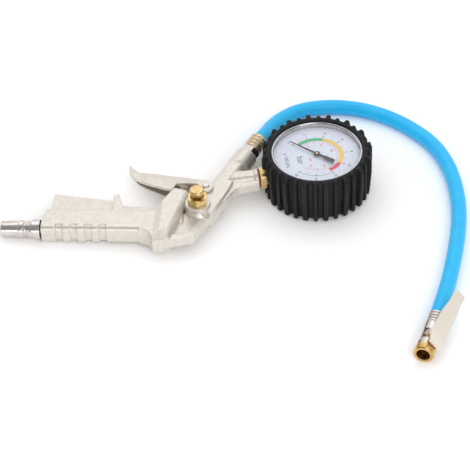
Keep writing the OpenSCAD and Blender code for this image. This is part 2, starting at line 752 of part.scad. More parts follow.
// Channel section of the trigger at one station: straight sides, then a bevel up to its back
function trigger_ring(s) =
    let (back = s[1], crease = s[2], free = s[3], w = s[4], bevel = w / 5, wall = min(trigger_wall, 0.6 * w),
         top = s[5] ? free + 0.4 : back - wall, bend = free + (top - free) * (crease - free) / (back - free),
         inner = w - wall)
    [for (p = [[free, -w], [crease, -w], [back, bevel - w], [back, w - bevel], [crease, w], [free, w],
               [free, inner], [bend, inner], [top, inner - bevel], [top, bevel - inner], [bend, -inner],
               [free, -inner]]) [s[0], p[0], p[1]]];

module trigger_channel() {
    rings = [for (s = trigger_stations) trigger_ring(s)];
    n = len(rings[0]);
    skin(rings, [for (k = [0:n / 2 - 2]) each [[k, k + 1, n - 2 - k], [k, n - 2 - k, n - 1 - k]]]);
}

module trigger_ears() {
    last = trigger_stations[len(trigger_stations) - 1];
    for (s = [-1, 1]) translate([0, 0, s * (trigger_half - trigger_wall / 2)])
        slab(-trigger_wall / 2, trigger_wall / 2) {
            circle(eye_r);
            polygon([[last[0] - eps, last[3]], [last[0] - eps, last[2]], [0.3, eye_r + 0.9],
                [eye_r - 0.9, 3.3],
                [0, -eye_r / 2]]);
        }
}

// Pad inside the trigger that pushes the valve stem
module press_pad() {
    low = gland_head + stem_out + run_clear;
    translate([-pivot_x, -pivot_y, 0]) in_arm() translate([-3, -4, low]) cube([6, 8, 6.6]);
}

module trigger_lever() {
    color(cast_colour) lay_down() in_pivot() difference() {
        union() {
            trigger_channel();
            trigger_ears();
            press_pad();
        }
        ring(pin_r + run_clear, -far, far);
    }
}

module trigger_pin() {
    top = trigger_half + run_clear;
    color(steel_colour) lay_down() in_pivot() rotate_extrude() polygon([
        [0, -top - 1], [pin_head_r - 0.9, -top - 1], [pin_head_r - 0.3, -top - 0.5], [pin_head_r - 0.3, -top],
        [pin_r, -top], [pin_r, top], [pin_head_r, top], [pin_head_r, top + 0.5], [pin_head_r - 0.7, top + 1],
            [0, top + 1]]);
}

// ---- Main valve ----

module valve_gland() {
    color(brass_colour) lay_down() in_arm() difference() {
        rotate_extrude() polygon(concat([[0, -gland_depth], [gland_r - 0.5, -gland_depth],
            [gland_r, -gland_depth + 0.5]],
            [for (i = [1, 0], p = [[0, -1], [-1, -1], [-1, 1], [0, 1]])
                [gland_r + p.x * ring_wire * 1.6, -ring_depths[i] + p.y * ring_wire]],
            [[gland_r, gland_head - 0.5], [gland_r - 0.5, gland_head], [0, gland_head]]));
        ring(stem_r + run_clear, -far / 2, far / 2);
        ring(stem_r + 0.7, -far / 2, -guide_len);
        translate([0, 0, -gallery_depth]) rotate([0, 90, 0])
            cylinder(r = 1.3, h = 4 * gland_r, center = true);
    }
}

module gland_rings() {
    color(rubber_colour) lay_down() in_arm() for (d = ring_depths)
        translate([0, 0, -d]) rotate_extrude() translate([chamber_r - ring_wire * 0.8, 0])
            circle(ring_wire * 0.78, $fn = 16);
}

module valve_stem() {
    top = gland_head + stem_out;
    low = -gland_depth - 2 * poppet_thick;
    color(brass_colour) lay_down() in_arm() rotate_extrude() polygon(concat(
        [[0, low], [poppet_r - 0.4, low], [poppet_r, low + 0.4], [poppet_r, low + poppet_thick],
         [stem_r, low + poppet_thick]],
        [for (a = [0:15:90]) [stem_r * cos(a), top - stem_r + stem_r * sin(a)]]));
}

module valve_seal() {
    color(rubber_colour) lay_down() in_arm()
        ring(poppet_r + 0.1, -gland_depth - poppet_thick, -gland_depth, stem_r + seat_clear);
}

module valve_spring() {
    color(spring_colour) lay_down() in_arm()
        coil(poppet_r - 0.8, 0.35, -chamber_depth, -gland_depth - 2 * poppet_thick, 7);
}

// ---- Bleed valve ----

hex_top = boss_top + hex_high;
recess_r = button_foot_r + 1.1;
recess_floor = hex_top - 3;
button_foot = hex_top - 1;
button_well_r = button_foot_r - 0.6;
guide_low = recess_floor - 3.5;

module bleed_housing() {
    color(brass_colour) lay_down() in_bleed() difference() {
        union() {
            rotate(30) hexagon(hex_corners, boss_top, hex_top);
            ring(bleed_thread_r, bleed_seat + seat_clear, boss_top + eps);
        }
        ring(recess_r, recess_floor, far);
        ring(button_stem_r + run_clear, -far, far);
        ring(button_stem_r + 0.8, -far, guide_low);
        for (a = [0:120:240]) rotate(a) translate([button_stem_r + 1.1, 0, 0]) ring(0.5, guide_low - 1, far);
    }
}

module bleed_button() {
    top = hex_top + button_high;
    color(brass_colour) lay_down() in_bleed() difference() {
        rotate_extrude() polygon([
            [0, bleed_seat - 2 * poppet_thick], [2.6, bleed_seat - 2 * poppet_thick],
                [2.6, bleed_seat - poppet_thick],
            [button_stem_r, bleed_seat - poppet_thick], [button_stem_r, button_foot],
                [button_foot_r, button_foot],
            [button_foot_r, button_foot + 1.6], [button_r, top - 2.6], [button_r, top - 0.9],
            [button_r - 0.5, top - 0.3], [button_r - 1.6, top], [0, top]]);
        ring(button_well_r, button_foot - 1, button_foot + 3, button_stem_r);
    }
}

module bleed_seal() {
    color(rubber_colour) lay_down() in_bleed()
        ring(2.7, bleed_seat - poppet_thick, bleed_seat, button_stem_r + seat_clear);
}

module bleed_spring() {
    color(spring_colour) lay_down() in_bleed()
        coil((button_stem_r + button_well_r) / 2, 0.3, recess_floor, button_foot + 3, 4);
}

// ---- Gauge ----

module gauge_socket() {
    color(brass_colour) lay_down() in_gauge() rotate([0, -90, 0]) difference() {
        union() {
            intersection() {
                translate([-square_w / 2, -square_w / 2, square_from - square_len])
                    cube([square_w, square_w, square_len]);
                ring(square_w * 0.66, square_from - square_len, square_from);
            }
            ring(small_thread_r - 0.6, 0.5 + case_r - case_wall, square_from + 2);
            ring(small_thread_r, square_from + 1.6, square_from + washer_thick + small_thread_len);
            translate([block_low, -block_w / 2, block_in])
                cube([plate_low - block_low, block_w, case_r - case_wall - 1 - block_in]);
            ring(4.6, case_r - case_wall - 2, square_from - 1);
        }
        ring(1.2, block_in + 6, far);
        intersection() {
            ring(far, 0, far);
            rotate([0, 90, 0]) ring(bourdon_r + bourdon_w / 2 + seat_clear, -bourdon_high / 2 - seat_clear,
                bourdon_high / 2 + seat_clear, bourdon_r - bourdon_w / 2 - seat_clear);
            translate([-far / 2, -1, 0]) cube([far, far, far]);
        }
    }
}

module socket_seal() {
    color(rubber_colour) lay_down() in_gauge() rotate([0, -90, 0])
        ring(neck_r - 0.4, square_from, square_from + washer_thick, small_thread_r + seat_clear);
}

module gauge_case() {
    color(steel_colour) lay_down() in_gauge() difference() {
        rotate_extrude() difference() {
            polygon([[0, case_floor], [case_r - 1.5, case_floor], [case_r, case_floor + 1.5],
                [case_r, case_top], [0, case_top]]);
            polygon([[0, case_floor + case_wall], [case_r - case_wall - 1, case_floor + case_wall],
                [case_r - case_wall, case_floor + case_wall + 1], [case_r - case_wall, far], [0, far]]);
        }
        rotate([0, -90, 0]) ring(4.6 + seat_clear, 0, far);
    }
}

// Teeth round the guard, tall and short in turn
module guard_teeth() {
    root = case_r + 1;
    for (i = [0:tooth_count - 1]) rotate(i * 360 / tooth_count) {
        r = i % 2 == 0 ? guard_r : guard_short_r;
        w = i % 2 == 0 ? tooth_w : tooth_short_w;
        polygon([[root, -w * 0.66], [r - 0.5, -w / 2], [r, -w / 2 + 0.5], [r, w / 2 - 0.5],
            [r - 0.5, w / 2], [root, w * 0.66]]);
    }
}

module gauge_guard() {
    color(rubber_colour) lay_down() in_gauge() difference() {
        union() {
            intersection() {
                slab(-guard_below, guard_top) guard_teeth();
                rotate_extrude() polygon([[0, -guard_below], [guard_foot_r, -guard_below],
                    [guard_r, guard_top - guard_straight], [guard_r, guard_top - 2.6],
                    [guard_root_r, guard_top - 0.5], [0, guard_top - 0.5]]);
            }
            rotate_extrude() polygon([[0, -guard_below], [guard_root_r - 1.2, -guard_below],
                [guard_root_r, guard_top - guard_straight], [guard_root_r, guard_top - 0.5],
                [guard_root_r - 0.6, guard_top], [0, guard_top]]);
        }
        rotate_extrude() polygon([[0, -guard_below - 1], [guard_back_r, -guard_below - 1],
            [guard_back_r, -guard_below + guard_floor], [case_r + seat_clear, -guard_below + guard_floor],
            [case_r + seat_clear, bezel_top - bezel_skirt - 0.5],
            [bezel_r + seat_clear, bezel_top - bezel_skirt - 0.5],
            [bezel_r + seat_clear, bezel_top + seat_clear], [guard_lip_r, bezel_top + seat_clear],
            [guard_lip_r + 0.8, guard_top + eps], [0, guard_top + eps]]);
        rotate([0, -90, 0]) ring(stem_hole_r, case_r / 2, far);
    }
}

module gauge_bezel() {
    color(steel_colour) lay_down() in_gauge() rotate_extrude() polygon([
        [sight_r, lens_top + seat_clear], [case_r + seat_clear, lens_top + seat_clear],
        [case_r + seat_clear, bezel_top - bezel_skirt], [bezel_r, bezel_top - bezel_skirt],
        [bezel_r, bezel_top - 0.4], [bezel_r - 0.4, bezel_top], [sight_r + 0.5, bezel_top]]);
}

module gauge_lens() {
    color([0.9, 0.95, 1, 0.3]) lay_down() in_gauge() ring(case_r - 0.1, case_top, lens_top);
}

module gauge_dial() {
    color("white") lay_down() in_gauge()
        ring(case_r - case_wall - 0.2, dial_top - dial_thick, dial_top, arbor_r + 0.4);
}

module gauge_pointer() {
    color([0.15, 0.15, 0.15]) lay_down() in_gauge() rotate(zero_angle) {
        slab(pointer_low, pointer_low + pointer_thick) difference() {
            union() {
                circle(2.2);
                polygon([[0, -0.8], [pointer_len - 2, -0.22], [pointer_len, 0], [pointer_len - 2, 0.22],
                    [0, 0.8]]);
                polygon([[0, -0.9], [-5, -0.9], [-7, -1.5], [-pointer_tail + 0.5, -1.5], [-pointer_tail, -1],
                    [-pointer_tail, 1], [-pointer_tail + 0.5, 1.5], [-7, 1.5], [-5, 0.9], [0, 0.9]]);
            }
            circle(arbor_r + seat_clear);
        }
        ring(1.2, pointer_low - 0.8, pointer_low + eps, arbor_r + seat_clear);
    }
}

// ---- Movement ----

// One flank point of an involute tooth, as radius and half angle
pressure = 20;
function roll(r, pitch_r) = let (base = pitch_r * cos(pressure), c = max(r, base) / base, t = sqrt(c * c - 1))
    t * 180 / PI - atan(t);
function half_angle(r, pitch_r, teeth) = 90 / teeth - gear_slack / 2 / pitch_r * 180 / PI
    + roll(pitch_r, pitch_r) - roll(r, pitch_r);
function tooth(pitch_r, teeth, i) = let (out = pitch_r + 0.85 * gear_module,
    low = pitch_r - 1.15 * gear_module,
    radii = [for (k = [0:4]) low + (out - low) * k / 4], at = i * 360 / teeth)
    concat([for (k = [0:4]) let (a = at - half_angle(radii[k], pitch_r, teeth)) radii[k] * [cos(a), sin(a)]],
        [for (k = [4:-1:0]) let (a = at + half_angle(radii[k], pitch_r, teeth)) radii[k] * [cos(a), sin(a)]]);

module pointer_arbor() {
    low = plate_low;
    color(brass_colour) lay_down() in_gauge() {
        ring(arbor_r, low, pointer_low + pointer_thick + 0.3);
        ring(arbor_r + 0.6, low + plate_thick + 0.2, gear_low);
        slab(gear_low - 0.2, gear_low + sector_thick + 0.2) rotate(sector_bearing + 180)
            polygon([for (i = [0:pinion_teeth - 1], p = tooth(pinion_pitch_r, pinion_teeth, i)) p]);
    }
}

// Sector with its teeth, spoke, hub and tail; at rest it meshes at its clockwise end
module sector_gear() {
    margin = 8;
    tooth_step = 360 / sector_teeth;
    first = -floor((sector_swing + margin) / tooth_step);
    last = floor(margin / tooth_step);
    rim = sector_pitch_r - 1.15 * gear_module;
    color(brass_colour) lay_down() in_gauge() translate(sector_at)
        slab(gear_low, gear_low + sector_thick) difference() {
        union() {
            rotate(sector_bearing + 180) {
                polygon(concat([[rim - 2, 0]],
                    [for (i = [first:last], p = tooth(sector_pitch_r, sector_teeth, i + 0.5)) p],
                        [[rim - 2, 0]]));
                polygon(concat([for (i = [first:last + 1]) let (a = i * tooth_step) (rim + 0.05) * [cos(a),
                    sin(a)]],
                    [for (i = [last + 1:-1:first]) let (a = i * tooth_step) (rim - 2) * [cos(a), sin(a)]]));
            }
            circle(2.4);
            rotate(sector_bearing + 180 + (first + last) / 2 * tooth_step) translate([0, -1.2])
                square([rim, 2.4]);
            rotate(tail_angle) translate([0, -1.1]) square([tail_len, 2.2]);
            translate(tail_pin - sector_at) circle(1.3);
        }
        circle(arbor_r + seat_clear);
    }
}

module sector_arbor() {
    color(steel_colour) lay_down() in_gauge() translate(sector_at) {
        ring(arbor_r, plate_low, plate_high + plate_thick);
        ring(arbor_r + 0.5, plate_low + plate_thick + 0.1, gear_low - seat_clear);
        ring(arbor_r + 0.5, gear_low + sector_thick + seat_clear, plate_high - 0.1);
    }
    color(steel_colour) lay_down() in_gauge() translate(tail_pin)
        ring(0.6, gear_low + sector_thick, link_low + link_thick + 0.1);
}

module movement_plate() {
    circle(4.6);
    translate(sector_at) circle(3);
    rotate(sector_bearing) translate([0, -3]) square([gear_span, 6]);
    rotate(180) translate([0, -4]) square([block_in + 4, 8]);
}

module movement_frame() {
    pillars = [[-17.5, -2.6], [2.9, -2.2]];
    dial_posts = [[-17.5, 2.6], [2.9, 2.2]];
    color(brass_colour) lay_down() in_gauge() {
        for (z = [plate_low, plate_high]) slab(z, z + plate_thick) difference() {
            movement_plate();
            circle(arbor_r + run_clear);
            translate(sector_at) circle(arbor_r + run_clear);
        }
        for (p = pillars) translate(p) ring(0.8, plate_low, plate_high + eps);
        for (p = dial_posts) translate(p) ring(0.9, plate_high, dial_top - dial_thick);
    }
}

module bourdon_tube() {
    color(brass_colour) lay_down() in_gauge() {
        rotate(bourdon_tip_angle) rotate_extrude(angle = bourdon_root_angle - bourdon_tip_angle)
            translate([bourdon_r, 0]) {
                square([bourdon_w, bourdon_high - bourdon_w], center = true);
                for (s = [-1, 1]) translate([0, s * (bourdon_high - bourdon_w) / 2])
                    circle(bourdon_w / 2, $fn = 24);
            }
        rotate(bourdon_tip_angle) translate([bourdon_r - 4.8, -1.8, bourdon_high / 2 - 1.5])
            cube([5.9, 3.4, 3]);
        translate(tip_pin) ring(0.6, bourdon_high / 2, link_low - 0.2);
    }
}

// The link reaches from the sector's tail to just over the tube's tip
module tube_link() {
    d = tip_pin - tail_pin;
    color(steel_colour) lay_down() in_gauge() translate(tail_pin) rotate(atan2(d.y, d.x))
        slab(link_low, link_low + link_thick) difference() {
            union() {
                circle(1.4);
                translate([norm(d), 0]) circle(1.4);
                translate([0, -0.8]) square([norm(d), 1.6]);
            }
            circle(0.6 + run_clear);
        }
}

// ---- Hose ----

module in_socket() { in_tube(tube_len) children(); }

module hose_nipple() {
    color(steel_colour) lay_down() in_socket() difference() {
        union() {
            ring(small_thread_r, -small_thread_len, eps);
            hexagon(nipple_corners, 0, nipple_hex_len);
        }
        ring(tube_bore_r, -far, far);
    }
}

module ferrule_shape(r, low, high) {
    waist = (high - low) / 4;
    rotate_extrude() polygon(concat([[hose_d / 2 + seat_clear, low]],
        [for (i = [0:3]) each [[r - 0.4, low + i * waist + 0.1], [r, low + i * waist + 0.7],
            [r, low + (i + 1) * waist - 0.7], [r - 0.4, low + (i + 1) * waist - 0.1]]],
        [[hose_d / 2 + seat_clear, high]]));
}

module hose_ferrule() {
    color(steel_colour) lay_down() in_socket() ferrule_shape(ferrule_r, nipple_hex_len, nipple_hex_len +
        ferrule_len);
}

module hose() {
    color(hose_colour) on_table() skin(tube_rings(hose_route, hose_d / 2, hose_sides));
}

// ---- Chuck ----

module chuck_ferrule() {
    color(steel_colour) in_chuck() ferrule_shape(sleeve_r - 0.1, mouth_len + sleeve_len, chuck_len);
}

module chuck_body() {
    color(brass_colour) in_chuck() difference() {
        rotate_extrude() polygon([[0, 0], [mouth_r - 0.7, 0], [mouth_r, 0.7], [mouth_r, mouth_len - 0.4],
            [mouth_r - 0.4, mouth_len], [body_r, mouth_len], [body_r, mouth_len + sleeve_len],
            [hose_d / 2, mouth_len + sleeve_len], [hose_d / 2, chuck_hose_end], [0, chuck_hose_end]]);
        ring(valve_socket_r, -1, valve_socket_len);
        ring(valve_socket_r - 0.2, 0, valve_socket_len + chuck_seal_thick);
        ring(1.8, 0, far);
        rotate(flag_roll) {
            ear_cuts();
            translate([-1.8, 2, mouth_len + 1]) cube([3.6, 10, 3.6]);
        }
    }
}

// Flats and pin hole that the thumb lever's ears need in the chuck
module ear_cuts() {
    flat = ear_in - 0.25;
    for (s = [0, 1]) mirror([s, 0]) translate([flat, 1, flag_pivot - 4]) cube([10, 10, 8]);
    translate([0, flag_pin_y, flag_pivot]) rotate([0, 90, 0])
        cylinder(r = flag_pin_r + seat_clear, h = far, center = true);
}

module chuck_sleeve() {
    color(steel_colour) in_chuck() rotate(flag_roll) difference() {
        ring(sleeve_r, mouth_len + seat_clear, mouth_len + sleeve_len, sleeve_bore_r);
        for (i = [0:crown_count - 1]) rotate(i * 360 / crown_count + 180 / crown_count)
            translate([-1.1, 0, mouth_len - 1]) cube([2.2, 2 * sleeve_r, 4]);
        translate([-2.6, 0, mouth_len - 1]) cube([5.2, 2 * sleeve_r, 6.6]);
        ear_cuts();
    }
}

module chuck_seal() {
    color(rubber_colour) in_chuck() ring(valve_socket_r - 0.2 - seat_clear, valve_socket_len,
        valve_socket_len + chuck_seal_thick, 2.4);
}

module chuck_depressor() {
    color(brass_colour) in_chuck() {
        floor_at = valve_socket_len + chuck_seal_thick;
        ring(0.9, valve_socket_len + 0.5, floor_at + 4);
        slab(floor_at + 0.5, floor_at + 3) for (a = [0:120:240]) rotate(a)
            translate([0, -0.35]) square([1.8 - seat_clear, 0.7]);
    }
}

module chuck_lever() {
    color(cast_colour) in_flag() difference() {
        union() {
            intersection() {
                rotate([0, 90, 0]) slab(-far / 2, far / 2) mirror([1, 0]) polygon([
                    [flag_front, flag_low], [bend_at, flag_low], [flag_end, flag_low + flag_rise],
                    [flag_end - flag_thick * sin(flag_slope), flag_low + flag_rise +
                        flag_thick * cos(flag_slope)],
                    [bend_at - flag_thick * tan(flag_slope / 2), flag_low + flag_thick],
                        [flag_front, flag_low + flag_thick]]);
                rotate([-90, 0, 0]) slab(0, far) mirror([0, 1]) polygon([
                    [-flag_jaw_w / 2, flag_front - 1], [flag_jaw_w / 2, flag_front - 1],
                        [flag_w / 2, flag_pivot - 3],
                    [flag_w / 2, flag_taper], [flag_end_w / 2, flag_taper + 9],
                        [flag_end_w / 2, flag_end - 0.8], [flag_end_w / 2 - 0.8, flag_end],
                    [-flag_end_w / 2 + 0.8, flag_end], [-flag_end_w / 2, flag_end - 0.8],
                        [-flag_end_w / 2, flag_taper + 9],
                    [-flag_w / 2, flag_taper], [-flag_w / 2, flag_pivot - 3]]);
            }
            for (s = [-1, 1]) translate([s * (flag_w / 2 - flag_thick / 2), 0, 0]) rotate([0, 90, 0])
                slab(-flag_thick / 2, flag_thick / 2) mirror([1, 0]) {
                    translate([flag_pivot, flag_pin_y]) circle(2);
                    polygon([[flag_pivot - 2, flag_pin_y], [flag_pivot + 2, flag_pin_y],
                        [flag_pivot + 3, flag_low + flag_thick],
                        [flag_pivot - 3, flag_low + 0.2]]);
                }
            translate([-1.5, 4.6, mouth_len + 1.3]) cube([3, flag_low - 4.6 + 0.2, 1.6]);
        }
        translate([0, flag_pin_y, flag_pivot]) rotate([0, 90, 0])
            cylinder(r = flag_pin_r + run_clear, h = far, center = true);
    }
}

module chuck_lever_pin() {
    color(steel_colour) in_flag() translate([0, flag_pin_y, flag_pivot]) rotate([0, 90, 0]) {
        ring(flag_pin_r, -flag_w / 2 - 0.1, flag_w / 2 + 0.1);
        for (s = [0, 1]) mirror([0, 0, s]) ring(flag_pin_r + 0.5, flag_w / 2 + run_clear, flag_w / 2 + 0.6);
    }
}

module chuck_spring() {
    high = flag_low + (flag_spring_at - bend_at) * tan(flag_slope);
    color(spring_colour) in_flag() translate([0, 0, flag_spring_at]) rotate([-90, 0, 0])
        coil(1.6, 0.25, sleeve_r, high - 0.4, 2);
}

cast_body();
inlet_plug();
inlet_washer();
trigger_lever();
trigger_pin();
valve_gland();
gland_rings();
valve_stem();
valve_seal();
valve_spring();
bleed_housing();
bleed_button();
bleed_seal();
bleed_spring();
gauge_socket();
socket_seal();
gauge_case();
gauge_guard();
gauge_bezel();
gauge_lens();
gauge_dial();
gauge_pointer();
pointer_arbor();
movement_frame();
sector_gear();
sector_arbor();
bourdon_tube();
tube_link();
hose_nipple();
hose_ferrule();
hose();
chuck_ferrule();
chuck_body();
chuck_sleeve();
chuck_seal();
chuck_depressor();
chuck_lever();
chuck_lever_pin();
chuck_spring();
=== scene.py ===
import json
import math

import bmesh
import bpy
from mathutils import Matrix, Vector


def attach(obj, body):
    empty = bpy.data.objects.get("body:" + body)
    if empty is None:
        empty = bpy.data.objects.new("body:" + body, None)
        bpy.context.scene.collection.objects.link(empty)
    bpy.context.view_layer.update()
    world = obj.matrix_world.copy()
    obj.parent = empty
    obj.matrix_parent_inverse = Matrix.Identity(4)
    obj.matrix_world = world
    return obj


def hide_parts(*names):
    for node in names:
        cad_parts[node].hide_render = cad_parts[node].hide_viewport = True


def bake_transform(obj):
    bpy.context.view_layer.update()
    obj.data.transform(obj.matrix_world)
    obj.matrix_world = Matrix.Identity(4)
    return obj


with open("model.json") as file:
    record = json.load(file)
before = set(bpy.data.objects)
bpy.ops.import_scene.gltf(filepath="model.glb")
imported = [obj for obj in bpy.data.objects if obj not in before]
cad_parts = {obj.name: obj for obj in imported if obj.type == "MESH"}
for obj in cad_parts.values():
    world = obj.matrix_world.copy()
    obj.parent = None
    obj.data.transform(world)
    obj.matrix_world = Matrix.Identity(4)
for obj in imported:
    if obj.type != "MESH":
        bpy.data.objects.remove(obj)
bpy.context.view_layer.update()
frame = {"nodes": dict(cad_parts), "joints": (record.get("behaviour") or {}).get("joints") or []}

nodes = frame["nodes"]
mm = 0.001


def say(text):
    print("scene:", text)


# places, in mm and degrees: the gun lies tilted on its guard, the chuck flat on the table

gunSize = {
    "pivotX": 106.1, "pivotY": 33.8,  # the trigger's pin
    "tubeX": 102, "tubeY": 13, "tubeAngle": 64.6, "tubeLen": 67,  # the hose's socket is at its end
    "armX": 89, "armY": 31, "armAngle": 75.6,  # holds the valve
    "bleedX": 101.8, "bleedY": 17,
    "neckAngle": 11,  # the gauge is turned by this too
}
chuckSize = {"mouth": (248.6, -98.9, 6.5), "angle": 74.6, "hoseEnd": 26, "length": 35.2, "roll": 45}


def turn(degrees, axis):
    return Matrix.Rotation(math.radians(degrees), 4, axis)


def shift(x=0, y=0, z=0):
    return Matrix.Translation(Vector((x, y, z)) * mm)


def along(x, y, z, angle):  # local z lies in the xy plane, turned from x by the angle
    return shift(x, y, z) @ turn(90 + angle, "Z") @ turn(90, "X")


def jointOf(name):
    joint = next(j for j in frame["joints"] if j["name"] == name)
    return Vector(joint["pos_m"]), Vector(joint["axis"])


pivotAt, gunNormal = jointOf("trigger_pivot")
lean = Matrix.Rotation(math.atan2(gunNormal.x, gunNormal.z), 4, "Y")
pivotInGun = Vector((gunSize["pivotX"], gunSize["pivotY"], 0)) * mm
gunPlace = Matrix.Translation(pivotAt - lean @ pivotInGun) @ lean
tablePlace = Matrix.Translation((gunPlace.translation.x, gunPlace.translation.y, 0))
gaugePlace = Matrix.Translation(jointOf("pointer_spin")[0]) @ lean @ turn(gunSize["neckAngle"], "Z")
tubeFoot = gunPlace @ along(gunSize["tubeX"], gunSize["tubeY"], 0, gunSize["tubeAngle"])
tubePlace = tubeFoot @ shift(z=gunSize["tubeLen"])
armPlace = gunPlace @ along(gunSize["armX"], gunSize["armY"], 0, gunSize["armAngle"])
bleedPlace = gunPlace @ shift(gunSize["bleedX"], gunSize["bleedY"])
chuckPlace = tablePlace @ along(*chuckSize["mouth"], chuckSize["angle"])
flagPlace = chuckPlace @ turn(chuckSize["roll"], "Z")  # y towards the thumb lever

# camera

cameraSize = {
    "x": 179.9, "y": -947.9, "z": 908.8,
    "right": (0.99844, 0.05582, 0), "forward": (-0.0405, 0.7244, -0.6882),
    "lens": 153.19, "sensor": 36, "farthest": 10,
}


def newObject(name, data):
    made = bpy.data.objects.new(name, data)
    bpy.context.scene.collection.objects.link(made)
    return made


def makeCamera(size):
    data = bpy.data.cameras.new("studioCamera")
    data.lens = size["lens"]
    data.sensor_width = size["sensor"]
    data.clip_end = size["farthest"]
    right = Vector(size["right"]).normalized()
    back = -Vector(size["forward"]).normalized()
    turned = Matrix((right, back.cross(right), back)).transposed().to_4x4()
    camera = newObject("studioCamera", data)
    camera.matrix_world = tablePlace @ shift(size["x"], size["y"], size["z"]) @ turned
    bpy.context.scene.camera = camera


makeCamera(cameraSize)
say("camera placed")

# mesh helpers

weldGap = {"solid": 2e-7, "hose": 1e-6}  # metres


def addPiece(name, mesh, body, finish, replaced=()):  # a spring rides on no single body
    piece = newObject(name, mesh)
    mesh.materials.append(finish)
    if body:
        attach(piece, body)
    if replaced:
        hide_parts(*replaced)
    return piece


def fromBmesh(name, bm, place=Matrix.Identity(4), sharpAngle=35):
    bmesh.ops.transform(bm, matrix=place, verts=bm.verts)
    limit = math.radians(sharpAngle)
    for face in bm.faces:
        face.smooth = True
    for edge in bm.edges:
        edge.smooth = len(edge.link_faces) == 2 and edge.calc_face_angle(0) < limit
    mesh = bpy.data.meshes.new(name)
    bm.to_mesh(mesh)
    bm.free()
    return mesh


def mergedCopy(nodeName):  # one shell in place of a solid's loose triangles
    bm = bmesh.new()
    bm.from_mesh(nodes[nodeName].data)
    bmesh.ops.remove_doubles(bm, verts=bm.verts, dist=weldGap["solid"])
    return bm


def evaluatedMesh(piece, name):
    graph = bpy.context.evaluated_depsgraph_get()
    mesh = bpy.data.meshes.new_from_object(piece.evaluated_get(graph))
    mesh.name = name
    return mesh


# shader groups


def newGroup(name, inputs, outputs):
    group = bpy.data.node_groups.new(name, "ShaderNodeTree")
    for label, value in inputs.items():
        socket = group.interface.new_socket(label, in_out="INPUT", socket_type="NodeSocketFloat")
        socket.default_value = value
    for label in outputs:
        group.interface.new_socket(label, in_out="OUTPUT", socket_type="NodeSocketFloat")
    return group, group.nodes.new("NodeGroupInput"), group.nodes.new("NodeGroupOutput")


def addNode(tree, kind, values=None, **settings):
    node = tree.nodes.new(kind)
    for key, value in settings.items():
        setattr(node, key, value)
    for socket, value in (values or {}).items():
        node.inputs[socket].default_value = value
    return node


def mottleGroup():  # two sizes of soft cloud, as plating and handling leave them
    group, given, out = newGroup("plateMottle", {"Size": 60.0}, ["Mask"])
    place = addNode(group, "ShaderNodeTexCoord")
    wide = addNode(group, "ShaderNodeTexNoise", {"Detail": 4.0, "Roughness": 0.6})
    finer = addNode(group, "ShaderNodeMath", {1: 5.3}, operation="MULTIPLY")
    fine = addNode(group, "ShaderNodeTexNoise", {"Detail": 2.0, "Roughness": 0.5})
    total = addNode(group, "ShaderNodeMath", operation="ADD")
    level = addNode(group, "ShaderNodeMapRange", {"From Min": 0.8, "From Max": 1.2})
    link = group.links.new
    link(place.outputs["Object"], wide.inputs["Vector"])
    link(place.outputs["Object"], fine.inputs["Vector"])
    link(given.outputs["Size"], wide.inputs["Scale"])
    link(given.outputs["Size"], finer.inputs[0])
    link(finer.outputs[0], fine.inputs["Scale"])
    link(wide.outputs["Fac"], total.inputs[0])
    link(fine.outputs["Fac"], total.inputs[1])
    link(total.outputs[0], level.inputs["Value"])
    link(level.outputs[0], out.inputs["Mask"])
    return group


def grainGroup():  # fine pitted skin of a casting or a moulding
    group, given, out = newGroup("skinGrain", {"Size": 900.0, "Pits": 0.3}, ["Height"])
    place = addNode(group, "ShaderNodeTexCoord")
    noise = addNode(group, "ShaderNodeTexNoise", {"Detail": 3.0, "Roughness": 0.65})
    cells = addNode(group, "ShaderNodeTexVoronoi", {"Randomness": 1.0})
    coarser = addNode(group, "ShaderNodeMath", {1: 0.37}, operation="MULTIPLY")
    pit = addNode(group, "ShaderNodeMapRange", {"From Max": 0.28, "To Min": -1.0, "To Max": 0.0})
    deep = addNode(group, "ShaderNodeMath", operation="MULTIPLY")
    total = addNode(group, "ShaderNodeMath", operation="ADD")
    link = group.links.new
    link(place.outputs["Object"], noise.inputs["Vector"])
    link(place.outputs["Object"], cells.inputs["Vector"])
    link(given.outputs["Size"], noise.inputs["Scale"])
    link(given.outputs["Size"], coarser.inputs[0])
    link(coarser.outputs[0], cells.inputs["Scale"])
    link(cells.outputs["Distance"], pit.inputs["Value"])
    link(pit.outputs[0], deep.inputs[0])
    link(given.outputs["Pits"], deep.inputs[1])
    link(noise.outputs["Fac"], total.inputs[0])
    link(deep.outputs[0], total.inputs[1])
    link(total.outputs[0], out.inputs["Height"])
    return group


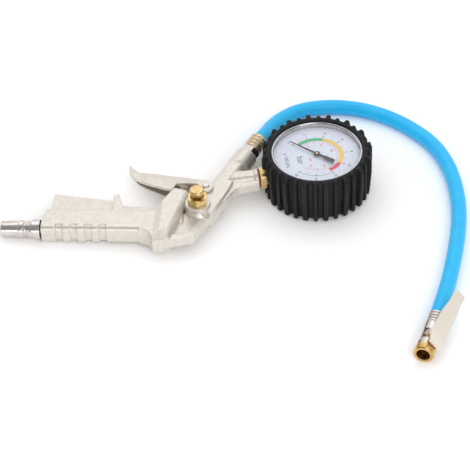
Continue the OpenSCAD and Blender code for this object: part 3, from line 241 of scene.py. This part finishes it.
def wearGroup():  # masks for convex edges, which get rubbed wear and a painted highlight, and for concave corners, which get painted shade
    group, given, out = newGroup("edgeWearHighlightShade", {"Edge": 0.53, "Size": 300.0}, ["RubbedAndHighlight", "CornerShade"])
    shape = addNode(group, "ShaderNodeNewGeometry")
    place = addNode(group, "ShaderNodeTexCoord")
    noise = addNode(group, "ShaderNodeTexNoise", {"Detail": 3.0, "Roughness": 0.7})
    # on convex edges: rubbed wear and a painted highlight
    rubbedEdgeHighlight = addNode(group, "ShaderNodeMapRange", {"From Max": 0.62})
    # in concave corners and creases: painted shade
    corner = addNode(group, "ShaderNodeMapRange", {"From Min": 0.47, "From Max": 0.40})
    rubbedAndLitSpots = addNode(group, "ShaderNodeMath", operation="MULTIPLY")
    link = group.links.new
    link(place.outputs["Object"], noise.inputs["Vector"])
    link(given.outputs["Size"], noise.inputs["Scale"])
    link(shape.outputs["Pointiness"], rubbedEdgeHighlight.inputs["Value"])
    link(given.outputs["Edge"], rubbedEdgeHighlight.inputs["From Min"])
    link(shape.outputs["Pointiness"], corner.inputs["Value"])
    link(rubbedEdgeHighlight.outputs[0], rubbedAndLitSpots.inputs[0])
    link(noise.outputs["Fac"], rubbedAndLitSpots.inputs[1])
    link(rubbedAndLitSpots.outputs[0], out.inputs["RubbedAndHighlight"])
    link(corner.outputs[0], out.inputs["CornerShade"])
    return group


plateMottle = mottleGroup()
skinGrain = grainGroup()
edgeWearHighlightShade = wearGroup()

# materials

bumpHeight = 0.0002  # metres


def srgb(r, g, b):  # screen levels, 0 to 255, made linear
    return tuple(((c / 255 + 0.055) / 1.055) ** 2.4 if c > 10 else c / 255 / 12.92
                 for c in (r, g, b)) + (1,)


def mixNode(tree, values, factor):
    mix = addNode(tree, "ShaderNodeMix", values, data_type="RGBA")
    tree.links.new(factor, mix.inputs["Factor"])
    return mix


def material(name, looks):
    made = bpy.data.materials.new(name)
    made.use_nodes = True
    tree = made.node_tree
    shader = tree.nodes["Principled BSDF"]
    link = tree.links.new
    mottle = addNode(tree, "ShaderNodeGroup", {"Size": looks["mottle"]}, node_tree=plateMottle)
    colours = {"A": looks["colour"], "B": looks["second"]}
    last = mixNode(tree, colours, mottle.outputs["Mask"])
    # convex edges get rubbed wear with a painted highlight, and concave corners get painted shade
    if "wornAndHighlight" in looks:
        wearHighlightShadeMasks = addNode(tree, "ShaderNodeGroup", {"Edge": looks["edge"]}, node_tree=edgeWearHighlightShade)
        for mask, colour in (("RubbedAndHighlight", looks["wornAndHighlight"]), ("CornerShade", looks["corner"])):
            masked = mixNode(tree, {"B": colour}, wearHighlightShadeMasks.outputs[mask])
            link(last.outputs["Result"], masked.inputs["A"])
            last = masked
    link(last.outputs["Result"], shader.inputs["Base Color"])
    smoothest, roughest = looks["rough"]
    rough = addNode(tree, "ShaderNodeMapRange", {"To Min": smoothest, "To Max": roughest})
    link(mottle.outputs["Mask"], rough.inputs["Value"])
    link(rough.outputs[0], shader.inputs["Roughness"])
    for socket, value in looks.get("shader", {}).items():
        shader.inputs[socket].default_value = value
    skin = {"Size": looks["grain"], "Pits": looks["pits"]}
    grain = addNode(tree, "ShaderNodeGroup", skin, node_tree=skinGrain)
    bump = addNode(tree, "ShaderNodeBump", {"Strength": looks["bump"], "Distance": bumpHeight})
    link(grain.outputs["Height"], bump.inputs["Height"])
    link(bump.outputs["Normal"], shader.inputs["Normal"])
    return made


# worn is partly rubbed wear and partly a painted highlight on convex edges; corner is painted shade in
# creases
castLooks = {
    "colour": srgb(230, 224, 215), "second": srgb(219, 212, 203),
    "wornAndHighlight": srgb(248, 244, 238), "corner": srgb(172, 160, 150), "edge": 0.53,
    "rough": (0.3, 0.42), "shader": {"Metallic": 0.65},
    "mottle": 330, "grain": 620, "pits": 0.35, "bump": 0.5,
}
# on the thumb lever too, worn is rubbed wear with a painted edge highlight, and corner is painted crease
# shade
leverLooks = {
    "colour": srgb(252, 242, 230), "second": srgb(247, 236, 223),
    "wornAndHighlight": srgb(250, 244, 236), "corner": srgb(196, 182, 166), "edge": 0.53,
    "rough": (0.4, 0.52), "shader": {"Metallic": 0.5},
    "mottle": 140, "grain": 900, "pits": 0.1, "bump": 0.2,
}
# on the guard, worn is a painted highlight on rims and teeth, partly rubbed wear, and corner is painted
# shade in creases
rubberLooks = {
    "colour": srgb(24, 23, 27), "second": srgb(18, 17, 21),
    "wornAndHighlight": srgb(56, 54, 59), "corner": srgb(10, 10, 12), "edge": 0.53,
    "rough": (0.5, 0.66), "shader": {"Specular IOR Level": 0.3},
    "mottle": 90, "grain": 1400, "pits": 0.3, "bump": 0.3,
}
steelLooks = {
    "colour": srgb(226, 220, 216), "second": srgb(205, 198, 194),
    "rough": (0.16, 0.26), "shader": {"Metallic": 1},
    "mottle": 120, "grain": 1600, "pits": 0, "bump": 0.06,
}
bezelLooks = dict(steelLooks, colour=srgb(196, 197, 202), second=srgb(176, 177, 182),
                  rough=(0.14, 0.22))
ferruleLooks = dict(steelLooks, colour=srgb(226, 208, 178), second=srgb(206, 184, 150),
                    rough=(0.26, 0.4), grain=500, pits=0.3, bump=0.25)
springLooks = dict(steelLooks, colour=srgb(176, 174, 172), second=srgb(150, 148, 146),
                   rough=(0.25, 0.35))
brassLooks = {
    "colour": srgb(230, 205, 150), "second": srgb(210, 182, 120),
    "rough": (0.2, 0.34), "shader": {"Metallic": 1},
    "mottle": 150, "grain": 1500, "pits": 0.05, "bump": 0.08,
}
mouthLooks = dict(brassLooks, colour=srgb(222, 188, 124), second=srgb(198, 158, 94),
                  rough=(0.2, 0.36))
hoseLooks = {
    "colour": srgb(16, 190, 255), "second": srgb(30, 198, 255),
    "rough": (0.4, 0.5), "shader": {"Coat Weight": 0.12, "Coat Roughness": 0.2},
    "mottle": 25, "grain": 500, "pits": 0, "bump": 0.03,
}
dialLooks = {
    "colour": srgb(225, 230, 245), "second": srgb(221, 226, 241),
    "rough": (0.4, 0.5), "mottle": 40, "grain": 1800, "pits": 0, "bump": 0.02,
}
pointerLooks = {
    "colour": srgb(62, 58, 62), "second": srgb(50, 47, 50),
    "rough": (0.35, 0.45), "mottle": 200, "grain": 2000, "pits": 0, "bump": 0.05,
}
washerLooks = {
    "colour": srgb(150, 62, 30), "second": srgb(122, 46, 22),
    "rough": (0.45, 0.6), "mottle": 200, "grain": 1500, "pits": 0.2, "bump": 0.2,
}
lensLooks = {"Base Color": (1, 1, 1, 1), "Roughness": 0.02, "IOR": 1.2, "Transmission Weight": 1}

castNickel = material("castNickel", castLooks)
turnedSteel = material("turnedSteel", steelLooks)
ferruleNickel = material("ferruleNickel", ferruleLooks)
bezelChrome = material("bezelChrome", bezelLooks)
turnedBrass = material("turnedBrass", brassLooks)
mouthBrass = material("mouthBrass", mouthLooks)
mouldedRubber = material("mouldedRubber", rubberLooks)
stampedLever = material("stampedLever", leverLooks)
hoseBlue = material("hoseBlue", hoseLooks)
dialWhite = material("dialWhite", dialLooks)
pointerBlack = material("pointerBlack", pointerLooks)
springSteel = material("springSteel", springLooks)
fibreRed = material("fibreRed", washerLooks)


def lensMaterial(looks):  # clear, and it throws no shadow
    made = bpy.data.materials.new("clearLens")
    made.use_nodes = True
    tree = made.node_tree
    shader = tree.nodes["Principled BSDF"]
    for socket, value in looks.items():
        shader.inputs[socket].default_value = value
    path = addNode(tree, "ShaderNodeLightPath")
    clear = addNode(tree, "ShaderNodeBsdfTransparent")
    mix = addNode(tree, "ShaderNodeMixShader")
    link = tree.links.new
    link(path.outputs["Is Shadow Ray"], mix.inputs[0])
    link(shader.outputs[0], mix.inputs[1])
    link(clear.outputs[0], mix.inputs[2])
    link(mix.outputs[0], tree.nodes["Material Output"].inputs["Surface"])
    return made


clearLens = lensMaterial(lensLooks)
say("materials mixed")

# hose

hoseSize = {
    "diameter": 10.25,
    "nippleFace": 5.5, "mouth": 18.5,  # from the tube's end to the hose's end and to the ferrule's mouth
    "stepsPerPoint": 6, "roundness": 10,
}
hoseLow = hoseSize["diameter"] / 2  # height of its middle where it lies on the table
hoseLay = [
    (142, 98, 11.5), (147, 110.5, 9), (155, 122.5, 7), (166, 132, 5.6), (181, 137, hoseLow),
    (199, 137.5, hoseLow), (216, 133.5, hoseLow), (232, 125.5, hoseLow), (246, 114.5, hoseLow),
    (257.5, 101.5, hoseLow), (265.5, 86, hoseLow), (270.5, 69, hoseLow), (273.2, 51, hoseLow),
    (274, 33, hoseLow), (273, 15, hoseLow), (270.8, -3, hoseLow), (267.9, -21, hoseLow),
    (264.6, -38, 5.4), (261.2, -52, 6),
]


def hosePoints():  # from inside the gun's ferrule, along the table, into the chuck's ferrule
    start = [tubePlace @ Vector((0, 0, hoseSize[end] * mm)) for end in ("nippleFace", "mouth")]
    lay = [tablePlace @ (Vector(point) * mm) for point in hoseLay]
    end = [chuckPlace @ Vector((0, 0, chuckSize[end] * mm)) for end in ("length", "hoseEnd")]
    return start + lay + end


def makeHose(size):
    data = bpy.data.curves.new("hoseLine", "CURVE")
    data.dimensions = "3D"
    data.resolution_u = size["stepsPerPoint"]
    line = data.splines.new("BEZIER")
    points = hosePoints()
    line.bezier_points.add(len(points) - 1)
    for knot, place in zip(line.bezier_points, points):
        knot.co = place
        knot.handle_left_type = knot.handle_right_type = "AUTO"
    work = newObject("hoseLine", data)
    path = [vert.co.copy() for vert in evaluatedMesh(work, "hoseLine").vertices]
    data.bevel_depth = size["diameter"] / 2 * mm
    data.bevel_resolution = size["roundness"]
    data.use_fill_caps = True
    bpy.context.view_layer.update()
    mesh = evaluatedMesh(work, "airHose")
    bpy.data.objects.remove(work)
    bm = bmesh.new()
    bm.from_mesh(mesh)
    bmesh.ops.remove_doubles(bm, verts=bm.verts, dist=weldGap["hose"])
    bmesh.ops.recalc_face_normals(bm, faces=bm.faces)
    hose = addPiece("airHose", fromBmesh("airHose", bm), "gun", hoseBlue, ["hose"])
    length = sum((b - a).length for a, b in zip(path, path[1:]))
    say("hose laid, %.0f mm long" % (length / mm))
    return hose, path, length


airHose, hoseLine, hoseLength = makeHose(hoseSize)

# castings and guard, their edges rubbed round

rimPads = {
    "count": 32, "inner": 32.2, "tall": 36.5, "short": 35.1,  # radii, tall and short in turn
    "tallWidth": 2.9, "shortWidth": 2.4,
    "raised": 0.2, "deep": 2.4,  # above and below the rim
}


def addRimPads(bm):  # the guard's teeth run on over its rim
    top = max((gaugePlace.inverted() @ vert.co).z for vert in bm.verts) / mm
    height = rimPads["deep"] + rimPads["raised"]
    for i in range(rimPads["count"]):
        kind = "short" if i % 2 else "tall"
        reach = rimPads[kind] - rimPads["inner"]
        size = Matrix.Diagonal((reach, rimPads[kind + "Width"], height, 1))
        middle = shift(rimPads["inner"] + reach / 2, 0, top + rimPads["raised"] - height / 2)
        made = bmesh.ops.create_cube(bm, size=mm)
        place = gaugePlace @ turn(i * 360 / rimPads["count"], "Z") @ middle
        bmesh.ops.transform(bm, matrix=place @ size, verts=made["verts"])


softening = 0.5  # how far a point moves towards its neighbours at each pass
softPieces = {
    "pistolCasting": {"node": "cast_body", "finish": castNickel, "slot": "cast", "body": "gun",
                      "voxel": 0.34, "passes": 5, "keep": 0.42},
    "triggerCasting": {"node": "trigger_lever", "finish": castNickel, "slot": "cast", "body": "trigger",
                       "voxel": 0.28, "passes": 5, "keep": 0.6},
    "rubberGuard": {"node": "gauge_guard", "finish": mouldedRubber, "slot": "rubber", "body": "gun",
                    "voxel": 0.36, "passes": 3, "keep": 0.42, "added": addRimPads},
}


def softened(name, size):  # a solid's shape with its edges rubbed round
    bm = mergedCopy(size["node"])
    if "added" in size:
        size["added"](bm)
    mesh = bpy.data.meshes.new(name)
    bm.to_mesh(mesh)
    bm.free()
    work = newObject(name + "Work", mesh)
    remesh = work.modifiers.new("remesh", "REMESH")
    remesh.mode = "VOXEL"
    remesh.voxel_size = size["voxel"] * mm
    smooth = work.modifiers.new("smooth", "SMOOTH")
    smooth.factor = softening
    smooth.iterations = size["passes"]
    work.modifiers.new("thin", "DECIMATE").ratio = size["keep"]
    done = evaluatedMesh(work, name)
    bpy.data.objects.remove(work)
    done.shade_smooth()
    addPiece(name, done, size["body"], size["finish"], [size["node"]])


for name, size in softPieces.items():
    softened(name, size)
say("castings and guard softened")

# turned and stamped pieces

# in degrees: faces are joined below flat, edges broken above sharp, and shaded round below smooth
cutting = {"flat": 1, "sharp": 32, "smooth": 50}
machinedPieces = {
    "inletPlug": {"node": "inlet_plug", "finish": turnedSteel, "slot": "steel", "edge": 0.25},
    "pivotPin": {"node": "trigger_pin", "finish": turnedSteel, "slot": "steel", "edge": 0.25},
    "valveGland": {"node": "valve_gland", "finish": turnedBrass, "slot": "brass", "edge": 0.15},
    "valveStem": {"node": "valve_stem", "finish": turnedBrass, "slot": "brass", "edge": 0.12,
                  "body": "valve"},
    "bleedHexagon": {"node": "bleed_housing", "finish": turnedBrass, "slot": "brass", "edge": 0.15},
    "bleedButton": {"node": "bleed_button", "finish": turnedBrass, "slot": "brass", "edge": 0.2,
                    "body": "bleed"},
    "gaugeSquare": {"node": "gauge_socket", "finish": turnedBrass, "slot": "brass", "edge": 0.3},
    "gaugeShell": {"node": "gauge_case", "finish": turnedSteel, "slot": "steel", "edge": 0.2},
    "chromeBezel": {"node": "gauge_bezel", "finish": bezelChrome, "slot": "steel", "edge": 0.15},
    "hoseNut": {"node": "hose_nipple", "finish": turnedSteel, "slot": "steel", "edge": 0.2},
    "gunFerrule": {"node": "hose_ferrule", "finish": ferruleNickel, "slot": "steel", "edge": 0.2},
    "chuckFerrule": {"node": "chuck_ferrule", "finish": turnedSteel, "slot": "steel", "edge": 0.2},
    "chuckMouth": {"node": "chuck_body", "finish": mouthBrass, "slot": "brass", "edge": 0.25},
    "chuckSleeve": {"node": "chuck_sleeve", "finish": turnedSteel, "slot": "steel", "edge": 0.12},
    "thumbLever": {"node": "chuck_lever", "finish": stampedLever, "slot": "lever", "edge": 0.2,
                   "body": "thumb_lever"},
    "thumbLeverPin": {"node": "chuck_lever_pin", "finish": turnedSteel, "slot": "steel", "edge": 0.15},
}


def machined(name, size):  # a solid with its sharp edges broken
    bm = mergedCopy(size["node"])
    flat, sharp = math.radians(cutting["flat"]), math.radians(cutting["sharp"])
    bmesh.ops.dissolve_limit(bm, angle_limit=flat, verts=bm.verts, edges=bm.edges)
    corners = [edge for edge in bm.edges
               if len(edge.link_faces) == 2 and edge.calc_face_angle(0) > sharp]
    bmesh.ops.bevel(bm, geom=corners, offset=size["edge"] * mm, offset_type="OFFSET", segments=2,
                    profile=0.5, material=-1, affect="EDGES", clamp_overlap=True)
    mesh = fromBmesh(name, bm, sharpAngle=cutting["smooth"])
    body = size.get("body", "gun")
    piece = addPiece(name, mesh, body, size["finish"], [size["node"]])
    piece.modifiers.new("evenNormals", "WEIGHTED_NORMAL").keep_sharp = True


for name, size in machinedPieces.items():
    machined(name, size)
say("machined pieces dressed")

# springs

leverSeat = {"z": 22.9, "angle": -90}  # the chuck spring stands square to the chuck
coilSize = {"sides": 8, "stepsPerTurn": 20, "smooth": 60}
springs = {
    "valveCoil": {"node": "valve_spring", "place": armPlace, "pushes": "valve",
                  "radius": 2.2, "wire": 0.35, "low": -38, "high": -23, "turns": 7},
    "bleedCoil": {"node": "bleed_spring", "place": bleedPlace, "pushes": "bleed",
                  "radius": 2.075, "wire": 0.3, "low": 11.5, "high": 16.5, "turns": 4},
    "leverCoil": {"node": "chuck_spring", "pushes": "thumb_lever",
                  "place": flagPlace @ shift(z=leverSeat["z"]) @ turn(leverSeat["angle"], "X"),
                  "radius": 1.6, "wire": 0.25, "low": 6.1, "high": 8.467, "turns": 2},
}


def wound(name, size):  # along z, its low end on the gun, its high end on what it pushes
    bm = bmesh.new()
    made = bmesh.ops.create_circle(bm, segments=coilSize["sides"], radius=size["wire"] * mm)
    first = shift(size["radius"], 0, size["low"] + size["wire"]) @ turn(90, "X")
    bmesh.ops.transform(bm, matrix=first, verts=made["verts"])
    steps = size["turns"] * coilSize["stepsPerTurn"]
    rise = size["high"] - size["low"] - 2 * size["wire"]
    bmesh.ops.spin(bm, geom=bm.verts[:] + bm.edges[:], cent=(0, 0, 0), axis=(0, 0, 1),
                   dvec=(0, 0, rise / steps * mm), angle=math.radians(360 * size["turns"]), steps=steps)
    bmesh.ops.holes_fill(bm, edges=bm.edges, sides=coilSize["sides"])
    bmesh.ops.recalc_face_normals(bm, faces=bm.faces)
    mesh = fromBmesh(name, bm, size["place"], coilSize["smooth"])
    piece = addPiece(name, mesh, None, springSteel, [size["node"]])
    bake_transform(piece)


for name, size in springs.items():
    wound(name, size)
say("springs wound")

# solids that keep their own shape

finishes = {
    turnedSteel: ["sector_arbor", "tube_link"],
    turnedBrass: ["pointer_arbor", "movement_frame", "sector_gear", "bourdon_tube"],
    mouthBrass: ["chuck_depressor"],
    mouldedRubber: ["inlet_washer", "gland_rings", "valve_seal", "bleed_seal", "chuck_seal"],
    fibreRed: ["socket_seal"],
    dialWhite: ["gauge_dial"],
    pointerBlack: ["gauge_pointer"],
    clearLens: ["gauge_lens"],
}
for finish, nodeNames in finishes.items():
    for nodeName in nodeNames:
        materials = nodes[nodeName].data.materials
        materials.clear()
        materials.append(finish)
say("materials laid on")

say("hose declared")

# dial print, in mm and degrees about the pointer

dialSize = {
    "top": 13.5, "thick": 0.05,
    "zero": 135.2, "degreesPerBar": 16.875,
    "arcStep": 3, "letterSteps": 3,
    "reading": -90,  # the way the words run
}
dialLevel = dialSize["top"] + dialSize["thick"]
inkLooks = {"rough": (0.45, 0.55), "mottle": 60, "grain": 1500, "pits": 0, "bump": 0.02}
inkColours = {"Black": srgb(58, 58, 66), "Grey": srgb(104, 104, 118), "Green": srgb(88, 184, 130),
              "Yellow": srgb(236, 204, 110), "Red": srgb(222, 84, 94)}
inks = {shade: material("ink" + shade, dict(inkLooks, colour=colour, second=colour))
        for shade, colour in inkColours.items()}
bandRadii = (15.2, 18)
bands = {"Green": (0.45, 4), "Yellow": (4, 10.1), "Red": (10.1, 12.1)}  # start and end, in bar
tailArc = {"inner": 19.9, "outer": 20.1, "startBar": 12.1, "endBar": 16}
barScale = {
    "last": 16, "step": 1, "longStep": 2, "perBar": 1,
    "long": (18.4, 21, 0.34), "short": (18.4, 19.6, 0.2),  # inner and outer radius, width
    "firstNumber": 0, "numberStep": 2, "numberSize": 2.8, "numberRadius": 23.4,
}
psiScale = {
    "last": 232, "step": 4, "longStep": 20, "perBar": 14.5,
    "long": (12.6, 14.9, 0.26), "short": (13.3, 14.9, 0.16),
    "firstNumber": 20, "numberStep": 40, "numberSize": 1.9, "numberRadius": 10.9,
}
psiWord = {"words": "psi", "size": 2.8, "x": -4.6, "y": -3.4}
barWord = {"words": "bar", "size": 6.2, "x": -11.6, "y": -2.6}
unitWord = {"words": "x 100 kPa", "size": 3.7, "x": -20.6, "y": -1.2}


def dialAngle(bars):
    return dialSize["zero"] - bars * dialSize["degreesPerBar"]


def addArc(bm, inner, outer, startBar, endBar):
    start, end = dialAngle(startBar), dialAngle(endBar)
    a = math.radians(start)
    verts = [bm.verts.new((r * mm * math.cos(a), r * mm * math.sin(a), dialLevel * mm))
             for r in (inner, outer)]
    edge = bm.edges.new(verts)
    steps = max(2, int(abs(end - start) / dialSize["arcStep"]))
    bmesh.ops.spin(bm, geom=verts + [edge], cent=(0, 0, 0), axis=(0, 0, 1),
                   angle=math.radians(end - start), steps=steps, use_merge=False)


def addTick(bm, angle, inner, outer, width):
    made = bmesh.ops.create_grid(bm, x_segments=1, y_segments=1, size=0.5)  # a square of side 1
    size = Matrix.Diagonal(((outer - inner) * mm, width * mm, 1, 1))
    place = turn(angle, "Z") @ shift((inner + outer) / 2, 0, dialLevel) @ size
    bmesh.ops.transform(bm, matrix=place, verts=made["verts"])


def addWords(bm, words, size, x, y):
    data = bpy.data.curves.new("words", "FONT")
    data.body = words
    data.size = size * mm
    data.align_x = data.align_y = "CENTER"
    data.resolution_u = dialSize["letterSteps"]
    work = newObject("words", data)
    mesh = evaluatedMesh(work, "words")
    bpy.data.objects.remove(work)
    mesh.transform(shift(x, y, dialLevel) @ turn(dialSize["reading"], "Z"))
    bm.from_mesh(mesh)


def addScale(bm, scale):
    for value in range(0, scale["last"] + 1, scale["step"]):
        tick = scale["short"] if value % scale["longStep"] else scale["long"]
        addTick(bm, dialAngle(value / scale["perBar"]), *tick)
    for value in range(scale["firstNumber"], scale["last"] + 1, scale["numberStep"]):
        a = math.radians(dialAngle(value / scale["perBar"]))
        x, y = scale["numberRadius"] * math.cos(a), scale["numberRadius"] * math.sin(a)
        addWords(bm, str(value), scale["numberSize"], x, y)


def printPiece(name, bm, shade):
    bmesh.ops.recalc_face_normals(bm, faces=bm.faces)
    for face in bm.faces:
        if face.normal.z < 0:
            face.normal_flip()
    bmesh.ops.solidify(bm, geom=bm.faces[:], thickness=dialSize["thick"] * mm)
    addPiece(name, fromBmesh(name, bm, gaugePlace), "gun", inks[shade])


def makeDialPrint():
    for shade, ends in bands.items():
        bm = bmesh.new()
        addArc(bm, *bandRadii, *ends)
        printPiece("band" + shade, bm, shade)
    bm = bmesh.new()
    addArc(bm, **tailArc)
    addScale(bm, barScale)
    printPiece("scaleBlack", bm, "Black")
    bm = bmesh.new()
    addScale(bm, psiScale)
    addWords(bm, **psiWord)
    printPiece("scaleRed", bm, "Red")
    bm = bmesh.new()
    addWords(bm, **barWord)
    addWords(bm, **unitWord)
    printPiece("scaleGrey", bm, "Grey")


makeDialPrint()
say("dial printed")

# table, world and lamps

floorSize = {"half": 3, "colour": srgb(246, 246, 247), "rough": 0.8, "shine": 0.1, "seenWhite": 1.13}
skySize = {"seen": 1.0, "light": 0.74,
           "room": [(0.0, 1.0), (0.035, 1.0), (0.08, 0.3), (0.5, 0.42), (0.72, 0.8), (1.0, 1.0)]}
lampAim = Vector((0.02, 0, 0))
lamps = {
    "softboxTop": {"at": (-0.15, 0.55, 1.1), "wide": 1.3, "tall": 0.9, "watts": 2.5},
    "softboxFront": {"at": (0.5, -0.9, 0.9), "wide": 0.8, "tall": 0.6, "watts": 3},
    "stripFront": {"at": (0.05, -1.25, 0.3), "wide": 1.8, "tall": 0.14, "watts": 2.6},
}


def mirroredRay(tree, path):  # 1 for a ray that comes by way of metal or glass
    either = addNode(tree, "ShaderNodeMath", operation="MAXIMUM")
    tree.links.new(path.outputs["Is Glossy Ray"], either.inputs[0])
    tree.links.new(path.outputs["Is Transmission Ray"], either.inputs[1])
    return either.outputs[0]


def makeFloor(size):
    bm = bmesh.new()
    bmesh.ops.create_grid(bm, x_segments=1, y_segments=1, size=size["half"])
    mesh = fromBmesh("table", bm)
    newObject("table", mesh)
    made = bpy.data.materials.new("tableWhite")
    made.use_nodes = True
    tree = made.node_tree
    shader = tree.nodes["Principled BSDF"]
    shader.inputs["Base Color"].default_value = size["colour"]
    shader.inputs["Roughness"].default_value = size["rough"]
    shader.inputs["Specular IOR Level"].default_value = size["shine"]
    # seen directly or by way of metal and glass, the table is whiter and still holds the shadow
    white = addNode(tree, "ShaderNodeBsdfDiffuse", {"Color": (size["seenWhite"],) * 3 + (1,)})
    path = addNode(tree, "ShaderNodeLightPath")
    anySeen = addNode(tree, "ShaderNodeMath", operation="MAXIMUM")
    total = addNode(tree, "ShaderNodeMixShader")
    link = tree.links.new
    link(path.outputs["Is Camera Ray"], anySeen.inputs[0])
    link(mirroredRay(tree, path), anySeen.inputs[1])
    link(anySeen.outputs[0], total.inputs[0])
    link(shader.outputs[0], total.inputs[1])
    link(white.outputs[0], total.inputs[2])
    link(total.outputs[0], tree.nodes["Material Output"].inputs["Surface"])
    mesh.materials.append(made)


def makeWorld(size):
    world = bpy.data.worlds.new("studioWorld")
    bpy.context.scene.world = world
    world.use_nodes = True
    tree = world.node_tree
    back = tree.nodes["Background"]
    back.inputs["Color"].default_value = (1, 1, 1, 1)
    path = addNode(tree, "ShaderNodeLightPath")
    around = addNode(tree, "ShaderNodeTexCoord")
    parts = addNode(tree, "ShaderNodeSeparateXYZ")
    # metal sees a room that is bright behind and straight in front, and dimmer above and between
    reach = addNode(tree, "ShaderNodeMapRange", {"From Min": -1.0, "From Max": 1.0})
    room = addNode(tree, "ShaderNodeValToRGB")
    ramp = room.color_ramp
    ramp.elements.remove(ramp.elements[1])
    for stop, (place, level) in enumerate(size["room"]):
        knot = ramp.elements.new(place) if stop else ramp.elements[0]
        knot.position = place
        knot.color = (level, level, level, 1)
    unseen = addNode(tree, "ShaderNodeMix", {"A": size["light"]}, data_type="FLOAT")
    strength = addNode(tree, "ShaderNodeMix", {"B": size["seen"]}, data_type="FLOAT")
    link = tree.links.new
    link(around.outputs["Generated"], parts.inputs[0])
    link(parts.outputs["Y"], reach.inputs["Value"])
    link(reach.outputs[0], room.inputs["Fac"])
    link(mirroredRay(tree, path), unseen.inputs["Factor"])
    link(room.outputs[0], unseen.inputs["B"])
    link(path.outputs["Is Camera Ray"], strength.inputs["Factor"])
    link(unseen.outputs[0], strength.inputs["A"])
    link(strength.outputs[0], back.inputs["Strength"])


def addLamp(name, size):
    data = bpy.data.lights.new(name, "AREA")
    data.shape = "RECTANGLE"
    data.size = size["wide"]
    data.size_y = size["tall"]
    data.energy = size["watts"]
    facing = (lampAim - Vector(size["at"])).to_track_quat("-Z", "Y")
    newObject(name, data).matrix_world = Matrix.Translation(size["at"]) @ facing.to_matrix().to_4x4()


makeFloor(floorSize)
makeWorld(skySize)
for name, size in lamps.items():
    addLamp(name, size)
bpy.context.scene.view_settings.view_transform = "Standard"
say("studio lit")
